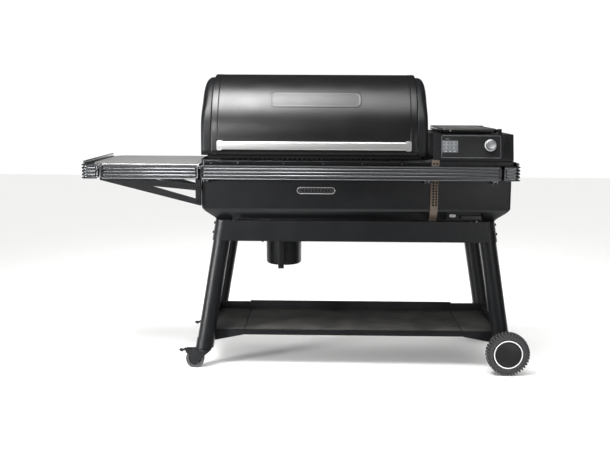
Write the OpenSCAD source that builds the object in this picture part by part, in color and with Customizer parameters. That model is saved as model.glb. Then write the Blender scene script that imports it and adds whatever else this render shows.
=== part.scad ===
// Pellet smoker grill: a steel barrel on four splayed tube legs, with a hinged lid, a pellet
// hopper with its controls on the right, a side shelf on the left and a shelf below.
// Millimetres. X to the right, Y to the back, Z up; the origin is on the floor at the middle.

/* [Barrel] */
// Middle of the barrel across the front
body_cx = 192; // [190:1:194]
// Half of the barrel's length
body_half = 614; // [612:1:616]
// Half of the barrel's depth
body_y = 280; // [279:1:281]
// Height of the barrel's flat bottom above the floor
pan_z = 621; // [620:1:623]
// Height where the lower chamfer meets the walls
chamfer_z = 665; // [660:1:668]
// How far the chamfer runs in from the long walls
chamfer_y = 40; // [36:1:42]
// How far the chamfer runs in from the end walls
chamfer_x = 56; // [50:1:60]
// Height of the barrel's open rim
rim_z = 866; // [865:1:867]
// Thickness of the folded sheet
sheet = 3; // [2:0.5:3]

/* [Lid] */
// Left end of the lid
lid_x0 = -423; // [-424:1:-420]
// Right end of the lid
lid_x1 = 473; // [471:1:474]
// Width of each end cap
cap_w = 42; // [38:1:46]
// Height of the lid's lower edge
lid_z0 = 881; // [880:1:882]
// Height of the lid's top
lid_top = 1202; // [1196:1:1206]
// Radius of the drum's front and back curves
drum_r = 240; // [225:1:245]
// How far the end caps stand inside the drum's outline
cap_step = 12; // [9:1:14]
// Height of the middle of the handle bar
handle_z = 921; // [918:1:924]

/* [Rails] */
// Lower edge of the accessory rails
rail_z0 = 786; // [785:1:787]
// Upper edge of the accessory rails
rail_z1 = 843; // [842:1:843]
// Front face of the rails, measured back from the middle
rail_y = -318; // [-320:1:-316]
// Left end of the whole grill
grill_x0 = -896; // [-898:1:-894]

/* [Hopper] */
// Left side of the hopper casing
hopper_x0 = 492; // [491:1:494]
// Top of the hopper casing
hopper_z = 968; // [966:1:969]
// Back of the hopper casing
hopper_y1 = 215; // [212:1:218]
// Radius of the control dial
dial_r = 20; // [18:0.5:21]

/* [Cart] */
// Outer diameter of the tube legs
leg_d = 68; // [66:1:69]
// Half of the distance between the leg lines at floor level
leg_base = 626; // [624:1:628]
// How far each leg leans in for one millimetre of height
leg_lean = 0.1666; // [0.160:0.0002:0.170]
// Distance of the legs from the middle, front to back
leg_y = 233; // [232:1:234]
// Height of the lower shelf's deck
deck_z = 152; // [150:1:155]
// Radius of the two large wheels
wheel_r = 88.7; // [87:0.1:89]
// Width of the large wheels
wheel_w = 46; // [42:1:46]
// Radius of the caster wheels
caster_r = 38; // [36:0.5:38]

/* [Hidden] */
$fn = 64;

// a hair of clearance between pieces that fit together, and the overlap of a cut
gap = 0.5;
cut = 1;
// running clearance of every pin in its bore
run_fit = 0.06;

// Barrel
body_x0 = body_cx - body_half;
body_x1 = body_cx + body_half;
base_y = body_y - chamfer_y;
return_w = chamfer_y + 2;
ledge_y = -300;
ledge_z1 = rail_z1 + 16;
grate_z = 836;
tray_z = 746;
chamber_x1 = 460;
keg_x = -103;
keg_y = -45;

// Lid
lid_y0 = -290;
lid_y1 = body_y;
seam_x0 = lid_x0 + cap_w;
seam_x1 = lid_x1 - cap_w;
lid_axis_y = 294;
lid_axis_z = 880;
lid_hinge_xs = [-260, 300];
lid_pin_r = 4;
handle_y = -328;

// Hopper and its controls
panel_z0 = 872;
panel_y0 = -302;
slope = atan2(panel_y0 + 281, hopper_z - panel_z0);
panel_x0 = 524;
panel_x1 = 757;
dial_x = 715;
dial_up = 54;
stem_r = 4;
hatch_x0 = 531;
hatch_x1 = 750;
hatch_y0 = -232;
hatch_y1 = 190;
hatch_axis = [759, 979];
hatch_pin_r = 3;
recess_x0 = 553;
recess_x1 = 703;
switch_x = 580;
switch_z = 642;

// Feeding and burning
pot_x = 30;
pot_r = 60;
feed_z = 664;
feed_r = 21;
shaft_r = 5;
igniter_z = 9;
motor_x = 716;
fan_at = [640, 150, 700];

// Cart
cart_cx = body_cx - 2;
leg_deg = atan(leg_lean);
beam_z0 = 536;
beam_z1 = 619;
// outer radius of the beam's ends, which wrap round the legs
wrap_r = leg_d / 2 + 4;
wheel_x = 811;
wheel_y = 295;
axle_r = 8;
caster_x = cart_cx - leg_base + leg_lean * 88;
caster_trail = 40;
caster_pin_r = 4;
swivel_r = 6;

// Helpers -------------------------------------------------------------------------------

// a flat outline in Y and Z, run from x0 to x1
module along_x(x0, x1) {
    translate([x0, 0, 0]) rotate([90, 0, 90]) linear_extrude(x1 - x0) children();
}

// a flat outline in X and Z, run from y0 to y1
module along_y(y0, y1) {
    translate([0, y1, 0]) rotate([90, 0, 0]) linear_extrude(y1 - y0) children();
}

// a box between two corners
module box(a, b) {
    translate(a) cube(b - a);
}

// a rectangle from corner a to corner b with round corners
module round_rect(a, b, r) {
    translate([a.x + r, a.y]) square([b.x - a.x - 2 * r, b.y - a.y]);
    translate([a.x, a.y + r]) square([b.x - a.x, b.y - a.y - 2 * r]);
    for (x = [a.x + r, b.x - r], y = [a.y + r, b.y - r]) translate([x, y]) circle(r);
}

// a rod from y0 to y1 at a place in X and Z
module rod_y(x, z, r, y0, y1) {
    translate([x, y0, z]) rotate([-90, 0, 0]) cylinder(r = r, h = y1 - y0);
}

// a rod from x0 to x1 at a place in Y and Z
module rod_x(y, z, r, x0, x1) {
    translate([x0, y, z]) rotate([0, 90, 0]) cylinder(r = r, h = x1 - x0);
}

// Barrel --------------------------------------------------------------------------------

// the barrel's outline as a solid, drawn in by the inset
module barrel_block(inset) {
    soft = 0.4 * inset;
    y = body_y - inset;
    yb = base_y - soft;
    x = body_half - inset;
    xb = body_half - chamfer_x - soft;
    top = rim_z + (inset > 0 ? cut : 0);
    intersection() {
        along_x(body_x0 - cut, body_x1 + cut)
            polygon([[-y, top], [-y, chamfer_z + soft], [-yb, pan_z + inset],
                [yb, pan_z + inset], [y, chamfer_z + soft], [y, top]]);
        translate([body_cx, 0, 0]) along_y(-body_y - cut, body_y + cut)
            polygon([[-x, top], [-x, chamfer_z + soft], [-xb, pan_z + inset],
                [xb, pan_z + inset], [x, chamfer_z + soft], [x, top]]);
    }
}

module barrel_sheet() {
    difference() {
        barrel_block(0);
        barrel_block(sheet);
    }
}

// bottom and both ends in one folded tray, with the collar that the keg hangs from
module barrel_tray() {
    collar_r = 66;
    drain_r = 22;
    y = body_y - return_w;
    color("#26272a") difference() {
        union() {
            intersection() {
                barrel_sheet();
                box([body_x0 - cut, -y, pan_z - cut], [body_x1 + cut, y, rim_z + cut]);
            }
            translate([keg_x, keg_y, pan_z - 20]) cylinder(r = collar_r, h = 20 + cut);
        }
        translate([keg_x, keg_y, pan_z - 30]) cylinder(r = collar_r - sheet, h = 30);
        translate([keg_x, keg_y, pan_z - cut]) cylinder(r = drain_r, h = sheet + 2 * cut);
    }
}

// a long wall with its end returns and the two inner ledges that the grate and tray rest on
module long_wall() {
    ledge = 10;
    y = body_y - return_w + gap;
    intersection() {
        barrel_sheet();
        box([body_x0 - cut, -body_y - cut, pan_z - cut], [body_x1 + cut, -y, rim_z + cut]);
    }
    for (z = [tray_z, grate_z])
        box([body_x0 + sheet + cut, -body_y + sheet - gap, z - sheet],
            [chamber_x1 - cut, -body_y + sheet + ledge, z]);
}

module front_wall() {
    color("#242529") difference() {
        union() {
            long_wall();
            // folded ledge above the rail
            box([body_x0 + 14, ledge_y, ledge_z1 - sheet], [body_x1, -body_y + gap, ledge_z1]);
            box([body_x0 + 14, ledge_y, rail_z1 + gap], [body_x1, ledge_y + sheet, ledge_z1]);
            // under the hopper the ledge stands up to the barrel's rim
            box([518, ledge_y, ledge_z1 - cut], [body_x1, ledge_y + sheet, rim_z - 0.1]);
            box([518, ledge_y, rim_z - sheet], [body_x1, -body_y + gap, rim_z - 0.1]);
        }
        // opening of the switch recess in the chamfer
        box([recess_x0, -body_y - cut, pan_z - cut],
            [recess_x1, -base_y + cut + sheet, chamfer_z - 3]);
    }
}

module rear_wall() {
    slot_x = 260;
    color("#242529") difference() {
        mirror([0, 1, 0]) long_wall();
        // smoke leaves through a long slot into the exhaust duct
        box([26 - slot_x, body_y - sheet - cut, 790], [26 + slot_x, body_y + cut, 822]);
    }
}

// divider between the cooking chamber and the hopper bay, folded over into the bay's top
module hopper_deck() {
    y = body_y - sheet - gap;
    side = sheet + gap;
    color("#242529") difference() {
        union() {
            box([chamber_x1, -y, 680], [chamber_x1 + sheet, y, rim_z]);
            box([chamber_x1, -base_y + 4, pan_z + side], [chamber_x1 + sheet, base_y - 4, 680]);
            box([chamber_x1, -y, rim_z - sheet], [body_x1 - side, y, rim_z]);
        }
        box([548, -208, rim_z - sheet - cut], [738, 188, rim_z + cut]);
        rod_x(0, feed_z, feed_r + sheet + gap, chamber_x1 - cut, chamber_x1 + sheet + cut);
    }
}

// round-headed screws: along the front ledge, on the shelf bracket, the beams and the badge
module body_screws() {
    head_r = 5;
    color("#1b1b1d") {
        for (x = [-340, -210, 20, 130, 260, 390, 600, 740])
            rod_y(x, ledge_z1 - 7, head_r - 1, ledge_y - 3, ledge_y);
        for (z = [704, 752]) rod_y(-436, z, head_r, -300, -294);
        for (x = [-180, -30]) translate([x, -leg_y - wrap_r + 12, beam_z0 - 4])
            cylinder(r = head_r, h = 4);
        for (side = [-1, 1], z = [beam_z0 + 24, beam_z0 + 62]) lean_frame(side, -leg_y)
            translate([side * (wrap_r + 0.05), 0, z / cos(leg_deg)]) rotate([0, side * 90, 0])
                cylinder(r = head_r, h = 4);
    }
}

// Rails ---------------------------------------------------------------------------------

rail_depth = 18;
rib_h = 8;
rib_gap = 5.25;
rail_lip = 6;

// one straight rail: rounded frame, recess, three ribs and the stand-offs behind it
module rail_bar(x0, x1) {
    corner = 12;
    back = rail_y + rail_depth;
    along_y(rail_y + 6, back) round_rect([x0, rail_z0], [x1, rail_z1], corner);
    difference() {
        along_y(rail_y, rail_y + 7) round_rect([x0, rail_z0], [x1, rail_z1], corner);
        along_y(rail_y - cut, rail_y + 8)
            round_rect([x0 + 9, rail_z0 + rail_lip], [x1 - 9, rail_z1 - rail_lip], corner - 5);
    }
    for (i = [0:2]) let (z = rail_z0 + rail_lip + rib_gap + i * (rib_h + rib_gap))
        along_y(rail_y + 1, rail_y + 7) round_rect([x0 + 15, z], [x1 - 15, z + rib_h], 2);
}

module front_rails() {
    clip_xs = [-402, 470, 735];
    color("#77787a") {
        rail_bar(-817, -429);
        rail_bar(-421, 758);
        for (x = clip_xs) {
            box([x - 16, rail_y + rail_depth - gap, rail_z0 + 10],
                [x + 16, -body_y - 0.1, rail_z1 - 10]);
            for (dx = [-14, 6]) box([x + dx, rail_y + 8, rail_z0 - 12],
                [x + dx + 8, rail_y + 14, rail_z0 + cut]);
        }
        for (x = [-790, -470]) box([x, rail_y + rail_depth - gap, rail_z0 + 20],
            [x + 20, -299, rail_z1 - 20]);
    }
}

// end rail that wraps round a corner: a plan outline stacked in layers, so the ribs wrap too
module end_rail(in_x, side_w, gusset) {
    // outer corner at the origin, front to +X, side to +Y
    length = 527;
    turn = 26;
    module plan(inset) {
        difference() {
            union() {
                translate([inset, inset]) square([in_x - inset, rail_depth - inset]);
                translate([inset, inset]) square([side_w - inset, length - inset]);
                polygon([[side_w - cut, rail_depth - cut], [in_x, rail_depth - cut],
                    [side_w - cut, rail_depth + gusset]]);
            }
            difference() {
                translate([-cut, -cut]) square(turn + cut);
                translate([turn, turn]) circle(turn - inset);
            }
        }
    }
    module layer(z0, z1, inset) {
        translate([0, 0, z0]) linear_extrude(z1 - z0) plan(inset);
    }
    layer(rail_z0, rail_z1, 6);
    layer(rail_z0, rail_z0 + rail_lip, 0);
    layer(rail_z1 - rail_lip, rail_z1, 0);
    for (i = [0:2]) let (z = rail_z0 + rail_lip + rib_gap + i * (rib_h + rib_gap))
        layer(z, z + rib_h, 1);
    // closing frame at the inner end of the front face
    box([in_x - 8, 0, rail_z0], [in_x, rail_depth, rail_z1]);
    // thin upstand along the side
    box([2, 40, rail_z1 - cut], [14, length, rail_z1 + 12]);
}

module left_end_rail() {
    color("#77787a") translate([grill_x0, rail_y, 0]) end_rail(72, 33, 60);
}

module right_end_rail() {
    color("#77787a") translate([836, rail_y, 0]) mirror([1, 0, 0]) end_rail(69, 29.5, 18);
}

// Side shelf ----------------------------------------------------------------------------

module side_shelf() {
    x0 = grill_x0 + 34;
    x1 = body_x0 - 6;
    y0 = rail_y + rail_depth + 1;
    y1 = 204;
    z1 = 846;
    deep = 18;
    corner = 46;
    module outline(inset) {
        difference() {
            translate([x0 + inset, y0 + inset]) square([x1 - x0 - 2 * inset, y1 - y0 - 2 * inset]);
            // round corner at the back left
            difference() {
                translate([x0 - cut, y1 - corner]) square([corner + cut, corner + cut]);
                translate([x0 + corner, y1 - corner]) circle(corner - inset);
            }
            // cut-off corner at the front left, beside the end rail
            translate([x0 - cut, y0 - cut])
                polygon([[0, 0], [50, 0], [50 - 10, 10], [10, 62], [0, 72]]);
        }
    }
    color("#b4b4b4") difference() {
        translate([0, 0, z1 - deep]) linear_extrude(deep) outline(0);
        translate([0, 0, z1 - deep - cut]) linear_extrude(deep - sheet + cut) outline(sheet);
    }
}

// pressed gusset under the shelf
module shelf_gusset(y0) {
    top = 827;
    x0 = -824;
    x1 = body_x0 - 2;
    color("#232427") {
        along_y(y0, y0 + 4) difference() {
            polygon([[x0, top], [x0, 780], [x1, 680], [x1, top]]);
            polygon([[-614, 757], [-444, 741], [-444, 709]]);
            polygon([[-700, 815], [-700, 797], [-444, 763], [-444, 815]]);
        }
        box([x1 - 4, y0, 680], [x1, y0 + 34, top]);
    }
}

module front_shelf_bracket() {
    shelf_gusset(-294);
}

module rear_shelf_bracket() {
    shelf_gusset(170);
}

// Trim ----------------------------------------------------------------------------------

module vent_band() {
    x0 = 487;
    x1 = 517;
    skin = 2;
    hole = 7;
    color("#6e5b4c") difference() {
        union() {
            box([x0, ledge_y - skin, rim_z], [x1, -246, rim_z + skin]);
            box([x0, ledge_y - skin, rail_z1 + 0.1], [x1, ledge_y - 0.05, rim_z + skin]);
            box([x0, -body_y - skin, chamfer_z], [x1, -body_y - 0.05, rail_z1]);
            along_x(x0, x1) polygon([[-body_y - skin, chamfer_z + 1], [-body_y - 0.05, chamfer_z + 1],
                [-body_y - 0.05, chamfer_z - 0.1], [-base_y - 0.05, pan_z - 0.1],
                [-base_y - 0.05, pan_z - skin], [-base_y - skin, pan_z - skin],
                [-body_y - skin, chamfer_z]]);
        }
        for (x = [x0 + 5.5, x1 - 5.5 - hole], i = [0:8])
            translate([x, -body_y - 9, chamfer_z + 21 + i * 11]) cube([hole, 8.9, hole]);
        for (x = [x0 + 5.5, x1 - 5.5 - hole])
            translate([x, ledge_y - 8, rail_z1 + 6]) cube([hole, 7.9, hole]);
    }
}

module badge_plate() {
    color("#b9b7b2") difference() {
        along_y(-body_y - 5, -body_y - 0.05) round_rect([-43, 728], [111, 757], 14);
        along_y(-body_y - 6, -body_y - 3.5) round_rect([-39, 732], [107, 753], 10);
    }
}

// Hopper --------------------------------------------------------------------------------

// a frame that lies on the sloping front: X across, Z up the slope, -Y out of the face
module on_panel() {
    translate([0, panel_y0, panel_z0]) rotate([slope, 0, 0]) children();
}

module hopper_outline(inset) {
    polygon([[panel_y0 + inset, rim_z - (inset > 0 ? cut : 0)], [panel_y0 + inset, panel_z0],
        [-281 + inset, hopper_z - inset], [hopper_y1 - inset, hopper_z - inset],
        [hopper_y1 - inset, rim_z - (inset > 0 ? cut : 0)]]);
}

module hopper_casing() {
    block = 9;
    color("#2f3033") difference() {
        union() {
            difference() {
                along_x(hopper_x0, body_x1) hopper_outline(0);
                along_x(hopper_x0 + sheet, body_x1 - sheet) hopper_outline(sheet);
                box([546, -216, hopper_z - sheet - cut], [741, 190, hopper_z + cut]);
                on_panel() box([panel_x0 - gap, -10, 4], [panel_x1 + gap, 10, 93]);
                // foot of the casing is notched where the band folds over the barrel's rim
                box([484, -310, rim_z - cut], [520, -240, rim_z + sheet]);
            }
            for (y = [hatch_y0 - 2 - block, hatch_y1 + 2])
                box([752, y, hopper_z - cut], [767, y + block, 988]);
        }
        rod_y(hatch_axis.x, hatch_axis.y, hatch_pin_r + run_fit, hatch_y0 - 20, hatch_y1 + 20);
    }
}

// pellet funnel: straight at the top, tapering to the outlet over the auger
module hopper_bin() {
    module funnel(t, extra) {
        hull() {
            box([550 + t, -206 + t, 900], [736 - t, 186 - t, 901]);
            box([606 + t, -24 + t, 690 - extra], [672 - t, 24 - t, 691]);
        }
        box([550 + t, -206 + t, 900], [736 - t, 186 - t, 955 + extra]);
    }
    color("#8b8d90") difference() {
        funnel(0, 0);
        funnel(sheet, cut);
    }
}

module control_panel() {
    color("#232326") on_panel() difference() {
        box([panel_x0, -1.5, 4.5], [panel_x1, 4.5, 92.5]);
        box([526.5, -3, 25], [589.5, 1, 73]);
        rod_y(dial_x, dial_up, stem_r + run_fit, -5, 10);
    }
}

module display_screen() {
    color("#7f8183") on_panel() box([527, -1.8, 25.5], [589, 0.9, 72.5]);
}

module dial_shaft() {
    color("#8f9194") on_panel() {
        rod_y(dial_x, dial_up, stem_r, -14, 16);
        rod_y(dial_x, dial_up, stem_r + 3, 12, 16);
    }
}

module dial_knob() {
    color("#c3c4c6") on_panel() difference() {
        union() {
            rod_y(dial_x, dial_up, dial_r + 3, -7.5, -4.5);
            rod_y(dial_x, dial_up, dial_r, -27, -7);
        }
        rod_y(dial_x, dial_up, stem_r + run_fit, -14.2, 0);
    }
}

// lid of the pellet hopper, with its hinge barrel along the right edge
module hopper_lid() {
    z0 = hopper_z + 2;
    z1 = 989;
    y0 = hatch_y0 + 6;
    y1 = hatch_y1 - 6;
    color("#2a2b2e") {
        difference() {
            translate([0, 0, z0]) linear_extrude(z1 - z0)
                round_rect([hatch_x0, hatch_y0], [hatch_x1, hatch_y1], 14);
            translate([0, 0, z0 - cut]) linear_extrude(z1 - z0 - sheet + cut)
                round_rect([hatch_x0 + 4, hatch_y0 + 4], [hatch_x1 - 4, hatch_y1 - 4], 10);
        }
        box([hatch_x1 - cut, y0, 976], [hatch_axis.x, y1, 982]);
        rod_y(hatch_axis.x, hatch_axis.y, 6, y0, y1);
        rod_y(hatch_axis.x, hatch_axis.y, hatch_pin_r, hatch_y0 - 9, hatch_y1 + 9);
    }
}

module switch_recess() {
    back_y = -246;
    color("#303134") difference() {
        union() {
            box([recess_x0 + gap, back_y, pan_z + 1], [recess_x1 - gap, back_y + sheet, 659]);
            box([recess_x0 + gap, -274, 656], [recess_x1 - gap, back_y + cut, 659]);
            for (x = [recess_x0 + gap, recess_x1 - gap - sheet])
                along_x(x, x + sheet)
                    polygon([[-271, 658], [back_y + sheet, 658], [back_y + sheet, 626]]);
            // strip of probe sockets under its cover
            along_y(back_y - 9, back_y + cut) round_rect([613, 627], [696, 643], 4);
        }
        switch_outline(0.3, back_y - 20, back_y + 20);
    }
}

// long round button of the power switch, from y0 to y1
module switch_outline(grow, y0, y1) {
    along_y(y0, y1) round_rect([switch_x - 13 - grow, switch_z - 5.4 - grow],
        [switch_x + 13 + grow, switch_z + 5.4 + grow], 5.3 + grow);
}

module power_button() {
    color("#c9cacc") {
        switch_outline(0, -255, -238);
        switch_outline(2, -242.6, -238);
    }
}

// Cart ----------------------------------------------------------------------------------

// the leaning line of a leg; side is -1 on the left and 1 on the right
module lean_frame(side, y) {
    translate([cart_cx + side * leg_base, y, 0]) rotate([0, -side * leg_deg, 0]) children();
}

// a leaning rod, cut level at both ends
module lean_rod(side, y, r, from, to) {
    intersection() {
        lean_frame(side, y) translate([0, 0, -40]) cylinder(r = r, h = 800);
        box([cart_cx - 800, y - 80, from], [cart_cx + 800, y + 80, to]);
    }
}

// a tube leg with the sleeve round its foot
module leg(side, y, z0) {
    lean_rod(side, y, leg_d / 2, z0, pan_z - 1);
    lean_rod(side, y, leg_d / 2 + 2.5, z0, z0 + 40);
}

module left_leg(y) {
    color("#29292c") difference() {
        leg(-1, y, 86);
        translate([caster_x, y, 0]) cylinder(r = swivel_r + run_fit, h = 116);
    }
}

module right_leg(y) {
    color("#29292c") difference() {
        leg(1, y, 46);
        rod_y(wheel_x, wheel_r, axle_r + 0.05, y - 90, y + 90);
    }
}

module front_left_leg() {
    left_leg(-leg_y);
}

module rear_left_leg() {
    left_leg(leg_y);
}

module front_right_leg() {
    right_leg(-leg_y);
}

module rear_right_leg() {
    right_leg(leg_y);
}

// pressed cross panel under the barrel: its ends wrap round the outer side of the legs
module beam() {
    thick = 3;
    // the flat face stands a little proud of the wraps, and runs a little way onto them
    proud = 0.4;
    onto = 4;
    inner = leg_y + wrap_r - thick + proud;
    top = leg_base - leg_lean * beam_z1 + onto;
    low = leg_base - leg_lean * beam_z0 + onto;
    along_y(-inner - thick, -inner)
        polygon([[cart_cx - top, beam_z1], [cart_cx + top, beam_z1],
            [cart_cx + low, beam_z0], [cart_cx - low, beam_z0]]);
    for (side = [-1, 1]) difference() {
        lean_rod(side, -leg_y, wrap_r, beam_z0, beam_z1);
        lean_rod(side, -leg_y, wrap_r - thick, beam_z0 - cut, beam_z1 + cut);
        lean_frame(side, -leg_y) translate([side > 0 ? -100 : 0, -60, 400]) cube([100, 120, 400]);
        box([cart_cx - 900, -leg_y + 20, 0], [cart_cx + 900, 0, lid_z0]);
    }
    // folded stiffeners along the upper and lower edges, between the legs
    for (z = [beam_z0, beam_z1 - thick])
        box([cart_cx - 460, -inner - 1, z], [cart_cx + 460, -inner + 22, z + thick]);
}

module front_beam() {
    color("#252528") beam();
}

module rear_beam() {
    color("#252528") mirror([0, 1, 0]) beam();
}

// deck with raised lips; its ends deepen towards the legs and reach in between them
module lower_shelf() {
    cx = cart_cx;
    half = 451;
    reach = 572;
    front = -210;
    back = 190;
    tongue = 598;
    lip_z0 = 134;
    deep = 24;
    back_h = 38;
    color("#27272a") {
        box([cx - reach, front, deck_z - sheet], [cx + reach, back, deck_z]);
        box([cx - tongue, -194, deck_z - sheet], [cx + tongue, back, deck_z]);
        along_y(front, front + sheet)
            polygon([[cx - reach, deck_z + 2], [cx - reach, lip_z0 - deep], [cx - half, lip_z0],
                [cx + half, lip_z0], [cx + reach, lip_z0 - deep], [cx + reach, deck_z + 2]]);
        along_y(back - sheet, back)
            polygon([[cx - tongue, deck_z - sheet], [cx - tongue, deck_z + 33],
                [cx - half - 4, deck_z + 33], [cx - half - 4, deck_z + back_h],
                [cx + half + 4, deck_z + back_h], [cx + half + 4, deck_z + 33],
                [cx + tongue, deck_z + 33], [cx + tongue, deck_z - sheet]]);
        for (side = [-1, 1])
            box([cx + side * (tongue - 1.5) - 1.5, -190, deck_z - sheet],
                [cx + side * (tongue - 1.5) + 1.5, back, deck_z + 33]);
    }
}

module wheel_axle() {
    color("#8a8c8e") rod_y(wheel_x, wheel_r, axle_r, -wheel_y - 12, wheel_y + 12);
}

// tyre with blocks round its tread, at the front; the rear one is its mirror image
module tyre() {
    blocks = 24;
    ring_r = 62;
    color("#3a3a3c") difference() {
        rod_y(wheel_x, wheel_r, wheel_r, -wheel_y - wheel_w / 2, -wheel_y + wheel_w / 2);
        rod_y(wheel_x, wheel_r, ring_r, -wheel_y - wheel_w, -wheel_y + wheel_w);
        for (i = [0:blocks - 1]) translate([wheel_x, -wheel_y, wheel_r])
            rotate([0, (i + 0.5) * 360 / blocks, 0]) {
                translate([wheel_r - 5, -wheel_w, -3]) cube([8, wheel_w - 4, 6]);
                rotate([0, 180 / blocks, 0]) translate([wheel_r - 5, 4, -3])
                    cube([8, wheel_w - 4, 6]);
            }
    }
}

module hub() {
    out = -wheel_y - wheel_w / 2 + 2;
    color("#2c2c2f") difference() {
        union() {
            rod_y(wheel_x, wheel_r, 61.7, out + 4, out + 10);
            rod_y(wheel_x, wheel_r, 59, out, out + 6);
            rod_y(wheel_x, wheel_r, 50, out - 3, out + 6);
            rod_y(wheel_x, wheel_r, 18, out - 3, -wheel_y + wheel_w / 2 + 2);
            rod_y(wheel_x, wheel_r, 61.7, -wheel_y + wheel_w / 2 - 12, -wheel_y + wheel_w / 2 - 6);
        }
        rod_y(wheel_x, wheel_r, axle_r + run_fit, -wheel_y - 12.3, 0);
    }
}

module front_tyre() {
    tyre();
}

module front_hub() {
    hub();
}

module rear_tyre() {
    mirror([0, 1, 0]) tyre();
}

module rear_hub() {
    mirror([0, 1, 0]) hub();
}

// Casters: drawn at the front left corner and mirrored for the back ------------------------

caster_w = 22;
fork_top = 80;
brake_x = caster_x - caster_trail - 30;
brake_z = caster_r + 34;
brake_pin_r = 3;

module fork() {
    cheek = 3;
    wx = caster_x - caster_trail;
    inner = caster_w / 2 + 2;
    top = fork_top - 0.5;
    color("#333336") {
        translate([caster_x, -leg_y, fork_top - 6]) cylinder(r = 27, h = 6);
        translate([caster_x, -leg_y, fork_top - cut]) cylinder(r = swivel_r, h = 30);
        for (s = [-1, 1]) let (y0 = -leg_y + (s > 0 ? inner : -inner - cheek))
            along_y(y0, y0 + cheek)
                polygon([[wx - 12, caster_r - 12], [wx + 12, caster_r - 12],
                    [caster_x + 24, fork_top - 6], [caster_x + 24, top], [brake_x - 7, top],
                    [brake_x - 7, brake_z - 6], [wx - 16, caster_r + 8]]);
        box([wx - 14, -leg_y - inner - cheek, fork_top - 3], [caster_x, -leg_y + inner + cheek, fork_top]);
        rod_y(wx, caster_r, caster_pin_r, -leg_y - inner - 5, -leg_y + inner + 5);
        rod_y(brake_x, brake_z, brake_pin_r, -leg_y - inner - 4, -leg_y + inner + 4);
    }
}

module caster_wheel() {
    wx = caster_x - caster_trail;
    w = caster_w / 2;
    color("#3b3b3d") difference() {
        union() {
            rod_y(wx, caster_r, caster_r, -leg_y - w + 3, -leg_y + w - 3);
            rod_y(wx, caster_r, caster_r - 3, -leg_y - w, -leg_y + w);
        }
        for (s = [-1, 1]) difference() {
            rod_y(wx, caster_r, 26, -leg_y + s * w - 4, -leg_y + s * w + 4);
            rod_y(wx, caster_r, 12, -leg_y - w - cut, -leg_y + w + cut);
        }
        rod_y(wx, caster_r, caster_pin_r + run_fit, -leg_y - 40, -leg_y + 40);
    }
}

// brake pedal: rocks on the fork's cross pin and points away from the leg
module brake() {
    half = 10;
    color("#2d2d30") difference() {
        union() {
            rod_y(brake_x, brake_z, 6, -leg_y - half, -leg_y + half);
            translate([brake_x, 0, brake_z]) along_y(-leg_y - half, -leg_y + half)
                polygon([[0, 5], [-14, 8], [-22, 3], [-32, 6], [-36, 2], [-24, -5], [-15, 1], [0, -5]]);
        }
        rod_y(brake_x, brake_z, brake_pin_r + run_fit, -leg_y - 30, -leg_y + 30);
    }
}

module front_fork() {
    fork();
}

module front_caster_wheel() {
    caster_wheel();
}

module front_brake() {
    brake();
}

module rear_fork() {
    mirror([0, 1, 0]) fork();
}

module rear_caster_wheel() {
    mirror([0, 1, 0]) caster_wheel();
}

module rear_brake() {
    mirror([0, 1, 0]) brake();
}

// Feeding and burning ----------------------------------------------------------------------

module fire_pot() {
    wall = 4;
    color("#5b5450") translate([pot_x, 0, pan_z + sheet]) difference() {
        cylinder(r = pot_r, h = 76);
        translate([0, 0, wall]) cylinder(r = pot_r - wall, h = 76);
        translate([0, 0, feed_z - pan_z - sheet]) rotate([0, 90, 0])
            cylinder(r = feed_r, h = pot_r + 10);
        translate([0, 0, igniter_z]) rotate([0, 90, 0]) cylinder(r = 4.2, h = pot_r + 10);
        for (i = [0:11]) rotate([0, 0, i * 30 + 15]) translate([0, 0, 60]) rotate([0, 90, 0])
            cylinder(r = 3, h = pot_r + 10);
    }
}

module auger_tube() {
    x0 = pot_x + pot_r + 1;
    x1 = motor_x - 2;
    color("#8d8f91") difference() {
        rod_x(0, feed_z, feed_r + sheet, x0, x1);
        rod_x(0, feed_z, feed_r, x0 - cut, x1 + cut);
        box([610, -18, feed_z], [668, 18, feed_z + 40]);
    }
}

// screw that carries the pellets from under the hopper to the fire pot
module auger() {
    x0 = pot_x + pot_r + 6;
    x1 = motor_x - 8;
    pitch = 60;
    color("#9b9da0") {
        rod_x(0, feed_z, shaft_r, x0 - 4, x1 + 22);
        translate([x0, 0, feed_z]) rotate([90, 0, 90])
            linear_extrude(x1 - x0, twist = -360 * (x1 - x0) / pitch, slices = 160, $fn = 4)
                translate([-feed_r + 2, -2]) square([2 * feed_r - 4, 4]);
    }
}

module auger_motor() {
    color("#6f7072") difference() {
        union() {
            box([motor_x, -34, feed_z - 30], [motor_x + 34, 34, feed_z + 34]);
            rod_x(0, feed_z, 22, motor_x + 34, motor_x + 52);
        }
        rod_x(0, feed_z, shaft_r + run_fit, motor_x - cut, motor_x + 20);
    }
}

module igniter_rod() {
    color("#b8b2a6") rod_x(0, pan_z + sheet + igniter_z, 4, pot_x + pot_r - 12, pot_x + pot_r + 90);
}

module fan_housing() {
    r = 58;
    depth = 46;
    x0 = fan_at.x - depth / 2;
    x1 = fan_at.x + depth / 2;
    color("#4b4c4f") difference() {
        union() {
            rod_x(fan_at.y, fan_at.z, r, x0, x1);
            box([x0, fan_at.y - r, fan_at.z - r - 8], [x1, fan_at.y - 8, fan_at.z]);
        }
        rod_x(fan_at.y, fan_at.z, r - sheet, x0 + sheet, x1 - sheet);
        box([x0 + sheet, fan_at.y - r + sheet, fan_at.z - r - 9], [x1 - sheet, fan_at.y - 12, fan_at.z]);
        rod_x(fan_at.y, fan_at.z, 26, x0 - cut, x0 + sheet + cut);
        rod_x(fan_at.y, fan_at.z, 3 + run_fit, x1 - sheet - cut, x1 + cut);
    }
}

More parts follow.
